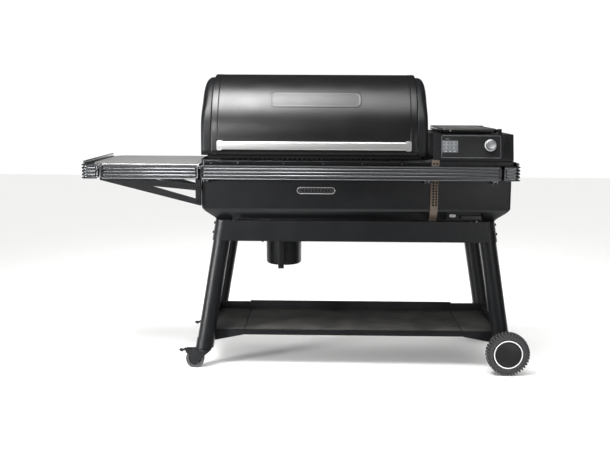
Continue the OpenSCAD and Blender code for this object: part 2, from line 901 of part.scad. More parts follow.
module fan_impeller() {
    blades = 12;
    depth = 32;
    x0 = fan_at.x - depth / 2;
    color("#9a9c9f") {
        rod_x(fan_at.y, fan_at.z, 3, x0, fan_at.x + 23);
        rod_x(fan_at.y, fan_at.z, 48, x0 + depth - 3, x0 + depth);
        for (i = [0:blades - 1]) translate([x0, fan_at.y, fan_at.z])
            rotate([i * 360 / blades, 0, 0]) translate([0, 30, -1]) cube([depth - 1, 17, 2]);
    }
}

// steel roof that spreads the fire's heat
module heat_baffle() {
    z = 712;
    color("#55504c") {
        along_y(-150, 150) polygon([[pot_x - 150, z], [pot_x, z + 18], [pot_x + 150, z],
            [pot_x + 150, z + 4], [pot_x, z + 22], [pot_x - 150, z + 4]]);
        for (x = [pot_x - 146, pot_x + 142], y = [-146, 142])
            box([x, y, pan_z + sheet + 0.1], [x + 4, y + 4, z + 2]);
    }
}

// tray that catches fat and leads it to the drain above the keg
module drip_tray() {
    x0 = body_x0 + 22;
    x1 = chamber_x1 - 16;
    y = 272;
    wall = 14;
    color("#5d5f61") difference() {
        union() {
            box([x0, -y, tray_z + 0.1], [x1, y, tray_z + sheet]);
            for (s = [-1, 1]) box([x0, s * (y - 10) - 1.5, tray_z], [x1, s * (y - 10) + 1.5, tray_z + wall]);
            for (x = [x0, x1 - sheet]) box([x, -y + 10, tray_z + 0.1], [x + sheet, y - 10, tray_z + wall]);
        }
        translate([keg_x, keg_y, tray_z - cut]) cylinder(r = 16, h = 3 * sheet);
    }
}

// wire grate: a frame of rod and bars across it
module grate(x0, x1, y0, y1, z, bars) {
    rod = 3;
    for (y = [y0, y1]) rod_x(y, z, rod + 1, x0, x1);
    for (i = [0:bars - 1]) rod_y(x0 + 5 + i * (x1 - x0 - 10) / (bars - 1), z, rod, y0, y1);
}

module lower_grate() {
    color("#63605c") grate(body_x0 + 20, chamber_x1 - 14, -267, 267, grate_z + 4.1, 40);
}

module upper_grate() {
    x0 = body_x0 + 60;
    x1 = chamber_x1 - 60;
    z = 1010;
    color("#7d7b77") {
        grate(x0, x1, -110, 190, z, 34);
        for (x = [x0 + 8, x1 - 8], y = [-110, 190])
            translate([x, y, grate_z + 8.3]) cylinder(r = 4, h = z - grate_z - 8);
    }
}

// hood over the smoke slot, open underneath
module exhaust_duct() {
    x0 = -250;
    x1 = 302;
    color("#2a2b2d") difference() {
        along_x(x0, x1) polygon([[body_y + 0.1, 742], [328, 742], [328, 800], [300, 838], [body_y + 0.1, 838]]);
        along_x(x0 + sheet, x1 - sheet) polygon([[body_y, 741], [325, 741], [325, 799], [299, 835],
            [body_y, 835]]);
    }
}

// Grease keg: a deep bucket under the drain, with a strap down its front
module grease_keg() {
    r = 74;
    z0 = 409;
    z1 = 612;
    strap = 22;
    color("#2a2b2e") {
        difference() {
            union() {
                translate([keg_x, keg_y, z0 + 8]) cylinder(r = r, h = z1 - z0 - 8);
                translate([keg_x, keg_y, z0]) cylinder(r1 = r - 10, r2 = r, h = 8.01);
            }
            translate([keg_x, keg_y, z0 + 8]) cylinder(r = r - sheet, h = z1);
        }
        difference() {
            box([keg_x - 13 - strap, keg_y - r - 14, z0 - 2], [keg_x - 13 + strap, keg_y - 30, z1 - 6]);
            box([keg_x - 14 - strap, keg_y - r - 9, z0 + 3], [keg_x - 12 + strap, keg_y, z1 - 18]);
            box([keg_x - 14 - strap, keg_y - r - 9, z1 - 20], [keg_x - 12 + strap, keg_y - r - 6, z1 - 17]);
            translate([keg_x, keg_y, z0]) cylinder(r = r - sheet, h = z1);
        }
    }
}

// Lid ------------------------------------------------------------------------------------

// the drum's end outline: upright at the front and back, round above; drawn in by the inset,
// and reaching lower than the lid's edge by the drop
module drum_outline(r, inset, drop) {
    y0 = lid_y0 + r;
    y1 = lid_y1 - r;
    z = lid_top - drum_r;
    bottom = lid_z0 - drop;
    wide = lid_y1 - lid_y0 - 2 * inset;
    intersection() {
        union() {
            translate([y0, z]) circle(r - inset);
            translate([y1, z]) circle(r - inset);
            translate([y0, bottom]) square([y1 - y0, z + r - inset - bottom]);
            translate([lid_y0 + inset, bottom]) square([wide, z - bottom]);
        }
        translate([lid_y0 + inset, bottom]) square([wide, z + r - bottom]);
    }
}

module lid_shell() {
    color("#242528") difference() {
        along_x(seam_x0, seam_x1) drum_outline(drum_r, 0, 0);
        along_x(seam_x0 - cut, seam_x1 + cut) drum_outline(drum_r, sheet, cut);
    }
}

// the domed end of the lid, from the seam out along +X: level with the drum's front and back,
// a step below its top, drawn in along a quarter ellipse; shrink gives the hollow inside it
module cap_dome(shrink) {
    steps = 5;
    swell_x = 22;
    swell_r = 30;
    skin = 0.1;
    drop = shrink > 0 ? cut : 0;
    r = drum_r - cap_step;
    hull() {
        along_x(-drop, skin) drum_outline(r, shrink, drop);
        for (i = [0:steps])
            let (a = i * 90 / steps, d = cap_w - swell_x + swell_x * sin(a) - shrink)
                along_x(d - skin, d) drum_outline(r, swell_r * (1 - cos(a)) + shrink, drop);
    }
}

module cap_shell() {
    difference() {
        cap_dome(0, $fn = 40);
        cap_dome(sheet, $fn = 40);
    }
}

module left_lid_cap() {
    color("#242528") translate([seam_x0 - 0.05, 0, 0]) mirror([1, 0, 0]) cap_shell();
}

module right_lid_cap() {
    color("#242528") translate([seam_x1 + 0.05, 0, 0]) cap_shell();
}

module lid_gasket() {
    w = 8;
    color("#3a3936") difference() {
        box([lid_x0 + 26, lid_y0 + 16, rim_z + 2], [lid_x1 - 26, lid_y1 - 14, lid_z0 - 0.1]);
        box([lid_x0 + 26 + w, lid_y0 + 16 + w, rim_z], [lid_x1 - 26 - w, lid_y1 - 14 - w, lid_z0 + cut]);
    }
}

module lid_handle() {
    x0 = -355;
    x1 = 405;
    half = 17;
    foot = 24;
    color("#c4c4c3") {
        along_x(x0, x1) round_rect([handle_y, handle_z - half], [handle_y + 20, handle_z + half], 7);
        for (x = [x0, x1 - foot]) {
            along_y(handle_y, lid_y0 - 0.05)
                round_rect([x, handle_z - half - 2], [x + foot, handle_z + half + 2], 5);
        }
    }
}

// straps and pins on the back of the lid
module lid_hinges() {
    color("#3a3b3d") for (x = lid_hinge_xs) {
        box([x - 20, lid_y1 + 0.1, lid_axis_z + 2], [x + 20, lid_y1 + 4, lid_axis_z + 44]);
        along_x(x - 20, x + 20) polygon([[lid_y1 + 0.1, lid_axis_z + 3], [lid_y1 + 0.1, lid_axis_z + 12],
            [lid_axis_y + 3, lid_axis_z + 3], [lid_axis_y + 3, lid_axis_z - 3], [lid_axis_y - 3, lid_axis_z - 3]]);
        rod_x(lid_axis_y, lid_axis_z, lid_pin_r, x - 38, x + 38);
    }
}

// leaves and knuckles on the back of the barrel
module body_hinges() {
    color("#2e2f31") for (x = lid_hinge_xs) difference() {
        union() {
            box([x - 40, body_y + 0.1, 842], [x + 40, body_y + 4, rim_z - 2]);
            for (dx = [-38, 21]) {
                rod_x(lid_axis_y, lid_axis_z, 9, x + dx, x + dx + 17);
                along_x(x + dx, x + dx + 17) polygon([[body_y + 0.1, 848], [body_y + 4, 842],
                    [lid_axis_y + 8, lid_axis_z - 3], [lid_axis_y - 8, lid_axis_z - 3]]);
            }
        }
        rod_x(lid_axis_y, lid_axis_z, lid_pin_r + run_fit, x - 45, x + 45);
    }
}

// Every piece is drawn by name, or all together
barrel_tray();
front_wall();
rear_wall();
hopper_deck();
body_screws();
front_rails();
left_end_rail();
right_end_rail();
side_shelf();
front_shelf_bracket();
rear_shelf_bracket();
vent_band();
badge_plate();
hopper_casing();
hopper_bin();
control_panel();
display_screen();
switch_recess();
front_beam();
rear_beam();
front_left_leg();
rear_left_leg();
front_right_leg();
rear_right_leg();
lower_shelf();
wheel_axle();
fire_pot();
auger_tube();
auger_motor();
igniter_rod();
fan_housing();
heat_baffle();
drip_tray();
lower_grate();
upper_grate();
exhaust_duct();
body_hinges();
lid_shell();
left_lid_cap();
right_lid_cap();
lid_gasket();
lid_handle();
lid_hinges();
hopper_lid();
dial_shaft();
dial_knob();
power_button();
front_tyre();
front_hub();
rear_tyre();
rear_hub();
front_fork();
front_caster_wheel();
front_brake();
rear_fork();
rear_caster_wheel();
rear_brake();
auger();
fan_impeller();
grease_keg();
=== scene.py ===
"""Looks of a pellet smoker grill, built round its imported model."""
import math

import bmesh
import bpy
from mathutils import Matrix, Vector


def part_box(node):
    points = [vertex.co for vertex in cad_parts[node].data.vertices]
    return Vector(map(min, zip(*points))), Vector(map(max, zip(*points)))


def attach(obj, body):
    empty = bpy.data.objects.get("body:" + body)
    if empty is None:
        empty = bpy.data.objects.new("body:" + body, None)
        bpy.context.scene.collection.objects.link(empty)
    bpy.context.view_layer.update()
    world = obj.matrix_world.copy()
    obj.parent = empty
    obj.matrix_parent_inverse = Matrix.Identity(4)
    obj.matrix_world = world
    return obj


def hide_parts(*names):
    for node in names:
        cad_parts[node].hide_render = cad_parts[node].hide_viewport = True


bl_info = {
    "name": "Pellet Smoker Grill",
    "version": (1, 0, 0),
    "blender": (4, 5, 0),
    "location": "3D View > Sidebar > Grill",
    "description": "Builds the visible pieces of a pellet smoker grill on its fixed frame",
    "category": "Object",
}

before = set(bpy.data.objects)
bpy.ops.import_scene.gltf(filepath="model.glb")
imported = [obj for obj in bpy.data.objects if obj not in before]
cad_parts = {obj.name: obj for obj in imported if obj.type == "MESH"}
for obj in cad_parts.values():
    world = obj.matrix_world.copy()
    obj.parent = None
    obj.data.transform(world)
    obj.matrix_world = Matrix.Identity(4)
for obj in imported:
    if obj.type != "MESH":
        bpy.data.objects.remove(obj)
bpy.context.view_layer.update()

MM = 0.001


# Sizes and places -----------------------------------------------------------------------

def box_mm(node):
    """Lowest and highest corner of a CAD node, in millimetres."""
    lo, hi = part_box(node)
    return Vector(lo) / MM, Vector(hi) / MM


# Meshes: everything is drawn in millimetres and scaled once, in piece() -----------------

def arc(cx, cy, radius, start, end, steps):
    """Points of an arc, in degrees, both ends included."""
    turn = [math.radians(start + (end - start) * i / steps) for i in range(steps + 1)]
    return [(cx + radius * math.cos(a), cy + radius * math.sin(a)) for a in turn]


def round_rect(x0, y0, x1, y1, r, steps=5):
    """Closed outline of a rectangle with round corners, counter-clockwise."""
    return (arc(x1 - r, y0 + r, r, -90, 0, steps) + arc(x1 - r, y1 - r, r, 0, 90, steps)
            + arc(x0 + r, y1 - r, r, 90, 180, steps) + arc(x0 + r, y0 + r, r, 180, 270, steps))


def loft(bm, rings, closed=True, cap_start=False, cap_end=False):
    """Skins a list of rings of points with quads."""
    rows = [[bm.verts.new(p) for p in ring] for ring in rings]
    count = len(rows[0])
    for a, b in zip(rows, rows[1:]):
        for i in range(count if closed else count - 1):
            j = (i + 1) % count
            bm.faces.new((a[i], a[j], b[j], b[i]))
    if cap_start:
        bm.faces.new(rows[0][::-1])
    if cap_end:
        bm.faces.new(rows[-1])
    return rows


AXES = {"x": Matrix(((0, 0, 1), (1, 0, 0), (0, 1, 0))),
        "y": Matrix(((1, 0, 0), (0, 0, 1), (0, 1, 0))),
        "z": Matrix.Identity(3)}


def swept(bm, outline, axis, start, end):
    """Runs a flat outline along an axis; along x it is drawn in Y and Z, along y in X and Z."""
    rings = [[AXES[axis] @ Vector((x, y, at)) for x, y in outline] for at in (start, end)]
    loft(bm, rings, cap_start=True, cap_end=True)


def turned(bm, profile, centre, axis="y", steps=48, from_axis=True):
    """Turns a profile of (radius, distance along the axis) round the axis."""
    place = AXES[axis]
    centre = Vector(centre)
    rings = []
    for radius, along in profile:
        rings.append([centre + place @ Vector((radius * math.cos(t), radius * math.sin(t), along))
                      for t in (2 * math.pi * i / steps for i in range(steps))])
    loft(bm, rings, cap_start=from_axis, cap_end=from_axis)


def slab(bm, lo, hi, radius=0.0, steps=3):
    """A box between two corners, its edges rounded."""
    size = Vector(hi) - Vector(lo)
    place = Matrix.Translation((Vector(lo) + Vector(hi)) / 2) @ Matrix.Diagonal((*size, 1.0))
    made = bmesh.ops.create_cube(bm, size=1.0, matrix=place)
    if radius > 0:
        edges = {e for v in made["verts"] for e in v.link_edges}
        bmesh.ops.bevel(bm, geom=list(edges), offset=min(radius, min(size) * 0.49),
                        segments=steps, profile=0.5, affect="EDGES")


def stamp(bm, made, place):
    """Adds a small mesh to a larger one at a place, and frees it."""
    bmesh.ops.transform(made, matrix=place, verts=made.verts)
    mesh = bpy.data.meshes.new("stamp")
    made.to_mesh(mesh)
    made.free()
    bm.from_mesh(mesh)
    bpy.data.meshes.remove(mesh)


def mesh_object(name, bm):
    """A new object in the scene that holds the mesh."""
    mesh = bpy.data.meshes.new(name)
    bm.to_mesh(mesh)
    bm.free()
    obj = bpy.data.objects.new(name, mesh)
    bpy.context.scene.collection.objects.link(obj)
    return obj


def piece(name, bm, body, coat, stands_for=(), crease=35.0, edge=0.0, thick=0.0):
    """Makes an object of the mesh, rides it on a body and gives it its finish."""
    bmesh.ops.remove_doubles(bm, verts=bm.verts, dist=0.01)
    bmesh.ops.recalc_face_normals(bm, faces=bm.faces)
    bmesh.ops.scale(bm, vec=(MM, MM, MM), verts=bm.verts)
    obj = mesh_object(name, bm)
    mesh = obj.data
    mesh.polygons.foreach_set("use_smooth", [True] * len(mesh.polygons))
    mesh.set_sharp_from_angle(angle=math.radians(crease))
    mesh.materials.append(finished(coat))
    if thick:
        skin = obj.modifiers.new("thickness", "SOLIDIFY")
        skin.thickness = thick * MM
        skin.offset = -1
    if edge:
        soften(obj, edge)
    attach(obj, body)
    if stands_for:
        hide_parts(*stands_for)
    return obj


def soften(obj, width):
    """Rounds the sharp edges of an object by a width in millimetres."""
    rounder = obj.modifiers.new("edges", "BEVEL")
    rounder.width = width * MM
    rounder.segments = 2
    rounder.limit_method = "ANGLE"
    rounder.angle_limit = math.radians(35)
    rounder.harden_normals = True


# Materials ------------------------------------------------------------------------------

def linear(colour):
    """Linear colour of an sRGB hex value."""
    channels = [int(colour[i:i + 2], 16) / 255 for i in (1, 3, 5)]
    return [c / 12.92 if c <= 0.04045 else ((c + 0.055) / 1.055) ** 2.4 for c in channels] + [1.0]


def add(tree, kind, inputs=None, **settings):
    """Adds a shader node; inputs gives a value, or another node's output, for each socket."""
    made = tree.nodes.new(kind)
    for key, value in settings.items():
        setattr(made, key, value)
    for key, value in (inputs or {}).items():
        if isinstance(value, bpy.types.NodeSocket):
            tree.links.new(value, made.inputs[key])
        else:
            made.inputs[key].default_value = value
    return made


def blank(name):
    """An empty node material, and where its surface is measured from."""
    material = bpy.data.materials.new(name)
    material.use_nodes = True
    material.node_tree.nodes.clear()
    place = add(material.node_tree, "ShaderNodeTexCoord").outputs["Object"]
    return material, material.node_tree, place


def blend(tree, factor, low, high):
    """Colour between two colours."""
    mix = add(tree, "ShaderNodeMixRGB", {"Fac": factor, "Color1": low, "Color2": high})
    return mix.outputs["Color"]


def shaded(colour, share):
    """A colour made lighter or darker by a share."""
    return [max(0.0, min(1.0, c * (1 + share))) for c in colour[:3]] + [1.0]


def surface(name, colour, roughness, metallic=0.0, grain=1.5, relief=0.05, tint=0.12,
            spread=0.08, stretch=(1, 1, 1), dust=0.0, **shader):
    """A finish with fine relief, slow colour drift and uneven roughness, made once by name.

    grain is the size of the relief in millimetres and relief its depth; stretch draws the
    grain out along an axis; tint and spread are how far colour and roughness wander; the last
    setting is how strongly what faces up is painted paler, as painted light falling on tops.
    """
    if name in bpy.data.materials:
        return bpy.data.materials[name]
    material, tree, place = blank(name)
    drawn = add(tree, "ShaderNodeMapping", {"Vector": place, "Scale": [1 / s for s in stretch]})
    fine = add(tree, "ShaderNodeTexNoise", {"Vector": drawn.outputs["Vector"],
                                            "Scale": 1 / (grain * MM), "Detail": 2.0})
    broad = add(tree, "ShaderNodeTexNoise", {"Vector": place, "Scale": 1 / (90 * MM),
                                             "Detail": 4.0})
    base = linear(colour)
    body = blend(tree, fine.outputs["Fac"], shaded(base, -tint), shaded(base, tint))
    # painted top light: faces that point up are blended, in broad patches, towards a pale grey
    if dust:
        facing = add(tree, "ShaderNodeSeparateXYZ",
                     {"Vector": add(tree, "ShaderNodeNewGeometry").outputs["Normal"]})
        lying = add(tree, "ShaderNodeMapRange", {"Value": facing.outputs["Z"],
                                                 "From Min": 0.5, "To Max": dust})
        dust_and_top_light_patches = add(tree, "ShaderNodeMath", {0: lying.outputs["Result"],
                                              1: broad.outputs["Fac"]}, operation="MULTIPLY")
        body = blend(tree, dust_and_top_light_patches.outputs["Value"], body, linear("#8c8a86"))
    rough = add(tree, "ShaderNodeMapRange",
                {"Value": broad.outputs["Fac"], "From Min": 0.3, "From Max": 0.7,
                 "To Min": roughness - spread, "To Max": roughness + spread})
    bump = add(tree, "ShaderNodeBump", {"Height": fine.outputs["Fac"], "Distance": relief * MM})
    bsdf = add(tree, "ShaderNodeBsdfPrincipled",
               {"Base Color": body, "Roughness": rough.outputs["Result"],
                "Normal": bump.outputs["Normal"], "Metallic": metallic,
                **{key.replace("_", " "): value for key, value in shader.items()}})
    add(tree, "ShaderNodeOutputMaterial", {"Surface": bsdf.outputs["BSDF"]})
    return material


FINISHES = {
    # baked polyester powder: near black, a fine pebbled skin that breaks reflections up softly
    "powder-coated steel": dict(colour="coat", roughness=0.42, grain=4.2, relief=0.45, tint=0.35,
        spread=0.05, IOR=1.38),
    # the lid's smoother coat: the same black, levelled further, so it shows broad highlights
    "satin powder coat": dict(colour="lid", roughness=0.34, grain=3.6, relief=0.22, tint=0.2,
        spread=0.03, IOR=1.5),
    # the same coat on flat tops, painted paler where it faces up as painted light on tops
    "powder coat with painted top light": dict(colour="coat", roughness=0.36, grain=4.2, relief=0.2, tint=0.3,
        dust=0.32, IOR=1.5),
    # near-black matte: painted shade for the recessed ledge, which the rail and lid overhang
    # shadow
    "black painted shade": dict(colour="#050506", roughness=0.75, grain=1.2, relief=0.05, IOR=1.3),
    # dipped primer on pressed steel: thin, even and duller than the powder coat
    "e-coated steel": dict(colour="coat", roughness=0.6, grain=1.2, relief=0.04, IOR=1.45),
    # dark anodised extrusion, brushed along its length: soft streaks along X
    "dark anodised aluminium": dict(colour="rail", roughness=0.33, metallic=1.0, grain=0.9,
        relief=0.001, stretch=(60, 1, 1), tint=0.05, spread=0.02),
    # belt-brushed sheet: fine lines along X, drawn three times coarser than life so they show
    "brushed stainless steel": dict(colour="shelf", roughness=0.4, metallic=1.0, grain=1.6,
        relief=0.008, stretch=(40, 1, 1), tint=0.05, spread=0.02),
    # blasted and clear anodised: pale, even, with a wide soft highlight
    "satin anodised aluminium": dict(colour="handle", roughness=0.48, metallic=1.0, grain=0.8,
        relief=0.008, tint=0.04, spread=0.02),
    # turned and finely blasted: an even, fine grain
    "turned aluminium": dict(colour="dial", roughness=0.52, metallic=1.0, grain=0.6, relief=0.02,
        tint=0.05),
    # dark bronze-plated strip, brushed upwards
    "bronze-plated steel": dict(colour="bronze", roughness=0.5, metallic=0.5, grain=0.8,
        relief=0.02, stretch=(1, 1, 20), tint=0.15),
    # moulded fascia with a fine spark-eroded texture
    "moulded ABS": dict(colour="fascia", roughness=0.48, grain=0.7, relief=0.03, IOR=1.54),
    # the fascia's edge: glossy from the mould, and a lighter grey as a painted highlight, so it
    # draws a bright line
    "glossy ABS with painted highlight": dict(colour="#55565a", roughness=0.2, grain=2.0, relief=0.005, tint=0.02,
        spread=0.02, IOR=1.54),
    # glass-filled nylon: a little greyer and more matte than the coat
    "moulded nylon": dict(colour="nylon", roughness=0.5, grain=1.1, relief=0.04, IOR=1.53),
    # cured rubber: matte, slightly mottled, a little paler on what faces up
    "tyre rubber": dict(colour="rubber", roughness=0.72, grain=1.4, relief=0.08, dust=0.15,
        IOR=1.52),
    # thermoplastic rubber: mid grey and waxy
    "thermoplastic rubber": dict(colour="caster", roughness=0.6, grain=1.0, relief=0.03,
        IOR=1.5),
    # black oxide on screws: dark, with a low metallic gleam
    "black oxide steel": dict(colour="#1a1a1c", roughness=0.38, metallic=0.6, grain=0.6,
        relief=0.02),
    # plain rolled steel, oiled
    "bright steel": dict(colour="#9a9b9d", roughness=0.35, metallic=1.0, grain=1.5, relief=0.02,
        stretch=(8, 1, 1)),
    # satin silver foil on plastic trim: bright from every side
    "silvered trim": dict(colour="#f2f2f2", roughness=0.4, metallic=0.35, grain=2.0,
        relief=0.005, tint=0.02, spread=0.03, IOR=1.5),
    # zinc-dipped sheet with broad grey spangles
    "galvanised steel": dict(colour="#8d9093", roughness=0.45, metallic=1.0, grain=14.0,
        relief=0.01, tint=0.25),
    # bare steel gone brown and dull in the fire
    "heat-darkened steel": dict(colour="#4a4039", roughness=0.62, metallic=0.7, grain=6.0,
        relief=0.1, tint=0.35, spread=0.12),
    # glassy enamel over rod: dark grey, smooth, with a hard highlight
    "porcelain enamel": dict(colour="#2d2c2b", roughness=0.28, grain=4.0, relief=0.03, IOR=1.52),
    # glass-fibre rope: coarse weave about 2 mm across, blackened by smoke
    "woven gasket": dict(colour="#121211", roughness=0.9, grain=2.0, relief=0.5, tint=0.3,
        IOR=1.45),
    # near-black plates behind the holes: painted shade, so almost no light comes back
    "painted hole shade": dict(colour="#060606", roughness=0.9, grain=0.8, relief=0.1, IOR=1.4),
    # grey painted motor and fan housings
    "painted casting": dict(colour="#55575a", roughness=0.5, grain=2.0, relief=0.06, IOR=1.5),
    # display behind a clear cover: mid grey, glossy, faintly lit from behind
    "backlit display": dict(colour="screen", roughness=0.22, grain=2.0, relief=0.0, tint=0.02,
        IOR=1.5, glow=0.12),
    # matte paint on a smooth floor
    "painted floor": dict(colour="#f4f4f3", roughness=0.8, grain=4.0, relief=0.02, tint=0.01),
    # the lit tiles and icons of the display
    "display segments": dict(colour="mark", roughness=0.3, grain=2.0, relief=0.0, tint=0.02,
        IOR=1.5, glow=0.15),
}


def finished(name):
    """The material of a name; a colour without a # is one that a user can change.

    glow is how strongly the surface is lit from behind in its own colour.
    """
    settings = dict(FINISHES[name])
    colour, glow = settings.pop("colour"), settings.pop("glow", 0.0)
    if not colour.startswith("#"):
        colour = getattr(finish(), colour)
    if glow:
        settings.update(Emission_Color=linear(colour), Emission_Strength=glow)
    return surface(name, colour, **settings)


# What a user would change ---------------------------------------------------------------

def colour(name, default, what):
    """A colour a user can change, as an sRGB hex value."""
    return bpy.props.StringProperty(name=name, default=default, description="Colour of " + what)


class GrillFinish(bpy.types.PropertyGroup):
    coat: colour("Powder coat", "#101113", "the barrel, legs and panels")
    lid: colour("Lid coat", "#0c0c0d", "the lid's smoother coat")
    rail: colour("Rails", "#696a6c", "the accessory rails")
    shelf: colour("Side shelf", "#dededd", "the side shelf's top")
    handle: colour("Handle", "#c4c4c3", "the lid handle and the dial")
    dial: colour("Dial", "#b4b5b7", "the dial's turned face")
    bronze: colour("Bronze strip", "#64584e", "the perforated strip")
    fascia: colour("Fascia", "#0c0d0e", "the control panel")
    nylon: colour("Nylon", "#1a1a1c", "the wheel discs and pedals")
    rubber: colour("Tyres", "#343436", "the tyres")
    caster: colour("Casters", "#3c3c3e", "the caster wheels")
    screen: colour("Display", "#55575a", "the display's ground")
    mark: colour("Display tiles", "#808285", "the display's tiles")


class GrillSizes(bpy.types.PropertyGroup):
    drum_r: bpy.props.FloatProperty(name="Lid curve", default=240.0, min=225, max=245,
                                    description="Radius of the lid's front and back curves, mm")
    cap_step: bpy.props.FloatProperty(name="Cap step", default=12.0, min=9, max=14,
                                      description="How far the caps stand inside the drum, mm")
    chamfer: bpy.props.FloatVectorProperty(name="Chamfer", default=(56, 40, 44), size=3,
                                           description="Barrel chamfer in X, Y and Z, mm")
    lens: bpy.props.FloatProperty(name="Lens", default=53.8, min=20, max=200,
                                  description="Focal length on a 36 mm wide sensor, mm")


def finish():
    return bpy.context.scene.grill_finish


def sizes():
    return bpy.context.scene.grill_sizes


class Maker:
    """What every operator here shares."""
    bl_options = {"REGISTER", "UNDO"}

    def execute(self, context):
        self.make()
        return {"FINISHED"}


# Stage ----------------------------------------------------------------------------------

class GRILL_OT_stage(Maker, bpy.types.Operator):
    """Floor, light and camera"""
    bl_idname = "grill.stage"
    bl_label = "Stage"

    def lamp(self, name, place, aim, size, power, spread):
        data = bpy.data.lights.new(name, "AREA")
        data.spread = math.radians(spread)
        data.shape = "RECTANGLE"
        data.size, data.size_y = size
        data.energy = power
        obj = bpy.data.objects.new(name, data)
        obj.location = place
        obj.rotation_euler = (Vector(aim) - Vector(place)).to_track_quat("-Z", "Y").to_euler()
        bpy.context.scene.collection.objects.link(obj)

    def surroundings(self):
        """A white room; what shines mirrors only its floor and a low screen behind."""
        world = bpy.data.worlds.new("studio")
        world.use_nodes = True
        tree = world.node_tree
        tree.nodes.clear()
        way = add(tree, "ShaderNodeSeparateXYZ",
                  {"Vector": add(tree, "ShaderNodeTexCoord").outputs["Generated"]})

        def ramp(source, low, high, at_low, at_high):
            made = add(tree, "ShaderNodeMapRange",
                       {"Value": way.outputs[source], "From Min": low, "From Max": high,
                        "To Min": at_low, "To Max": at_high})
            return made.outputs["Result"]

        def join(operation, first, second):
            return add(tree, "ShaderNodeMath", {0: first, 1: second},
                       operation=operation).outputs["Value"]

        floor = ramp("Z", -0.95, -0.6, 2.2, 0.02)
        screen = join("MULTIPLY", ramp("Y", 0.3, 0.8, 0.0, 1.0), ramp("Z", 0.03, 0.13, 2.4, 0.0))
        seen = add(tree, "ShaderNodeBackground", {"Color": (1, 1, 1, 1), "Strength": 1.05})
        mirrored = add(tree, "ShaderNodeBackground",
                       {"Color": (1, 1, 1, 1), "Strength": join("MAXIMUM", floor, screen)})
        path = add(tree, "ShaderNodeLightPath")
        mix = add(tree, "ShaderNodeMixShader", {"Fac": path.outputs["Is Glossy Ray"]})
        tree.links.new(seen.outputs["Background"], mix.inputs[1])
        tree.links.new(mirrored.outputs["Background"], mix.inputs[2])
        add(tree, "ShaderNodeOutputWorld", {"Surface": mix.outputs["Shader"]})
        bpy.context.scene.world = world

    def make(self):
        scene = bpy.context.scene
        scene.view_settings.view_transform = "Standard"
        self.surroundings()

        bm = bmesh.new()
        half = 9.0  # metres
        bmesh.ops.create_grid(bm, x_segments=8, y_segments=8, size=half)
        floor = mesh_object("floor", bm)
        floor.data.materials.append(finished("painted floor"))
        floor.visible_glossy = False

        self.lamp("overhead left", (-0.6, -1.0, 2.9), (-0.35, -0.1, 1.0), (1.0, 1.7), 26, 75)
        self.lamp("overhead right", (0.55, -1.0, 2.9), (0.45, -0.1, 1.0), (1.2, 1.7), 6, 75)
        self.lamp("front left", (-1.2, -3.2, 1.6), (-0.4, -0.3, 1.0), (0.5, 0.6), 1.4, 30)
        self.lamp("front right", (1.9, -3.0, 0.5), (0.6, -0.3, 0.6), (0.7, 0.7), 1.8, 60)
        self.lamp("low left", (-2.9, -2.2, 0.55), (-0.5, -0.2, 0.15), (0.5, 1.0), 8.5, 36)

        data = bpy.data.cameras.new("camera")
        data.lens = sizes().lens
        data.sensor_width = 36
        camera = bpy.data.objects.new("camera", data)
        camera.location = (0.0666, -3.882, 1.1102)
        camera.rotation_euler = [math.radians(a) for a in (82.0, -0.279, 1.245)]
        scene.collection.objects.link(camera)
        scene.camera = camera


# Pieces kept from the model -------------------------------------------------------------

def kept_finishes():
    """The finish of every node that keeps its own shape."""
    table = {
        "powder-coated steel": (
            "hopper_deck hopper_casing switch_recess front_beam rear_beam front_left_leg "
            "rear_left_leg front_right_leg rear_right_leg lower_shelf exhaust_duct body_hinges "
            "lid_hinges front_shelf_bracket rear_shelf_bracket"),
        "e-coated steel": "front_fork rear_fork",
        "brushed stainless steel": "side_shelf",
        "bronze-plated steel": "vent_band",
        "bright steel": "dial_shaft wheel_axle auger igniter_rod",
        "galvanised steel": "hopper_bin auger_tube",
        "heat-darkened steel": "fire_pot heat_baffle drip_tray",
        "porcelain enamel": "lower_grate upper_grate",
        "black oxide steel": "body_screws",
        "woven gasket": "lid_gasket",
        "painted casting": "auger_motor fan_housing fan_impeller",
        "moulded nylon": "front_brake rear_brake",
        "thermoplastic rubber": "front_caster_wheel rear_caster_wheel",
        "satin anodised aluminium": "power_button",
    }
    return {node: finished(coat) for coat, nodes in table.items() for node in nodes.split()}


class GRILL_OT_kept(Maker, bpy.types.Operator):
    """Finishes for the pieces that keep the model's own shape"""
    bl_idname = "grill.kept"
    bl_label = "Kept pieces"

    def make(self):
        unrounded = {"auger", "lower_grate", "upper_grate", "lid_gasket", "dial_shaft"}
        for node, material in kept_finishes().items():
            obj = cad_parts[node]
            obj.data.materials.clear()
            obj.data.materials.append(material)
            if node not in unrounded:
                soften(obj, 1.2)


# Lid ------------------------------------------------------------------------------------

def drum_outline():
    """The lid's end outline: Y, Z, the way out of it, and how fully it stands above a cap."""
    steps, starts, grows = 24, 10, 30
    lo, hi = box_mm("lid_shell")
    r = sizes().drum_r
    top = hi.z - r
    points = []
    for y, sign in ((lo.y, -1), (hi.y, 1)):
        side = [(y, lo.z + (top - lo.z) * i / 4, sign, 0.0, 0.0) for i in range(4)]
        for i in range(steps + 1):
            a = math.radians(90 * i / steps)
            rise = min(1.0, max(0.0, (90 * i / steps - starts) / grows))
            side.append((y - sign * r * (1 - math.cos(a)), top + r * math.sin(a),
                         sign * math.cos(a), math.sin(a), rise * rise * (3 - 2 * rise)))
        points += side if sign < 0 else side[::-1]
    return points


def lid_ring(x, inset, stepped=0.0):
    """One ring of the lid; inset and x may depend on how far the drum stands above a cap."""
    ring = []
    for y, z, ny, nz, rise in drum_outline():
        deep = inset(rise) if callable(inset) else inset
        at = x(rise) if callable(x) else x
        deep += stepped * rise
        ring.append((at, y - ny * deep, z - nz * deep))
    return ring


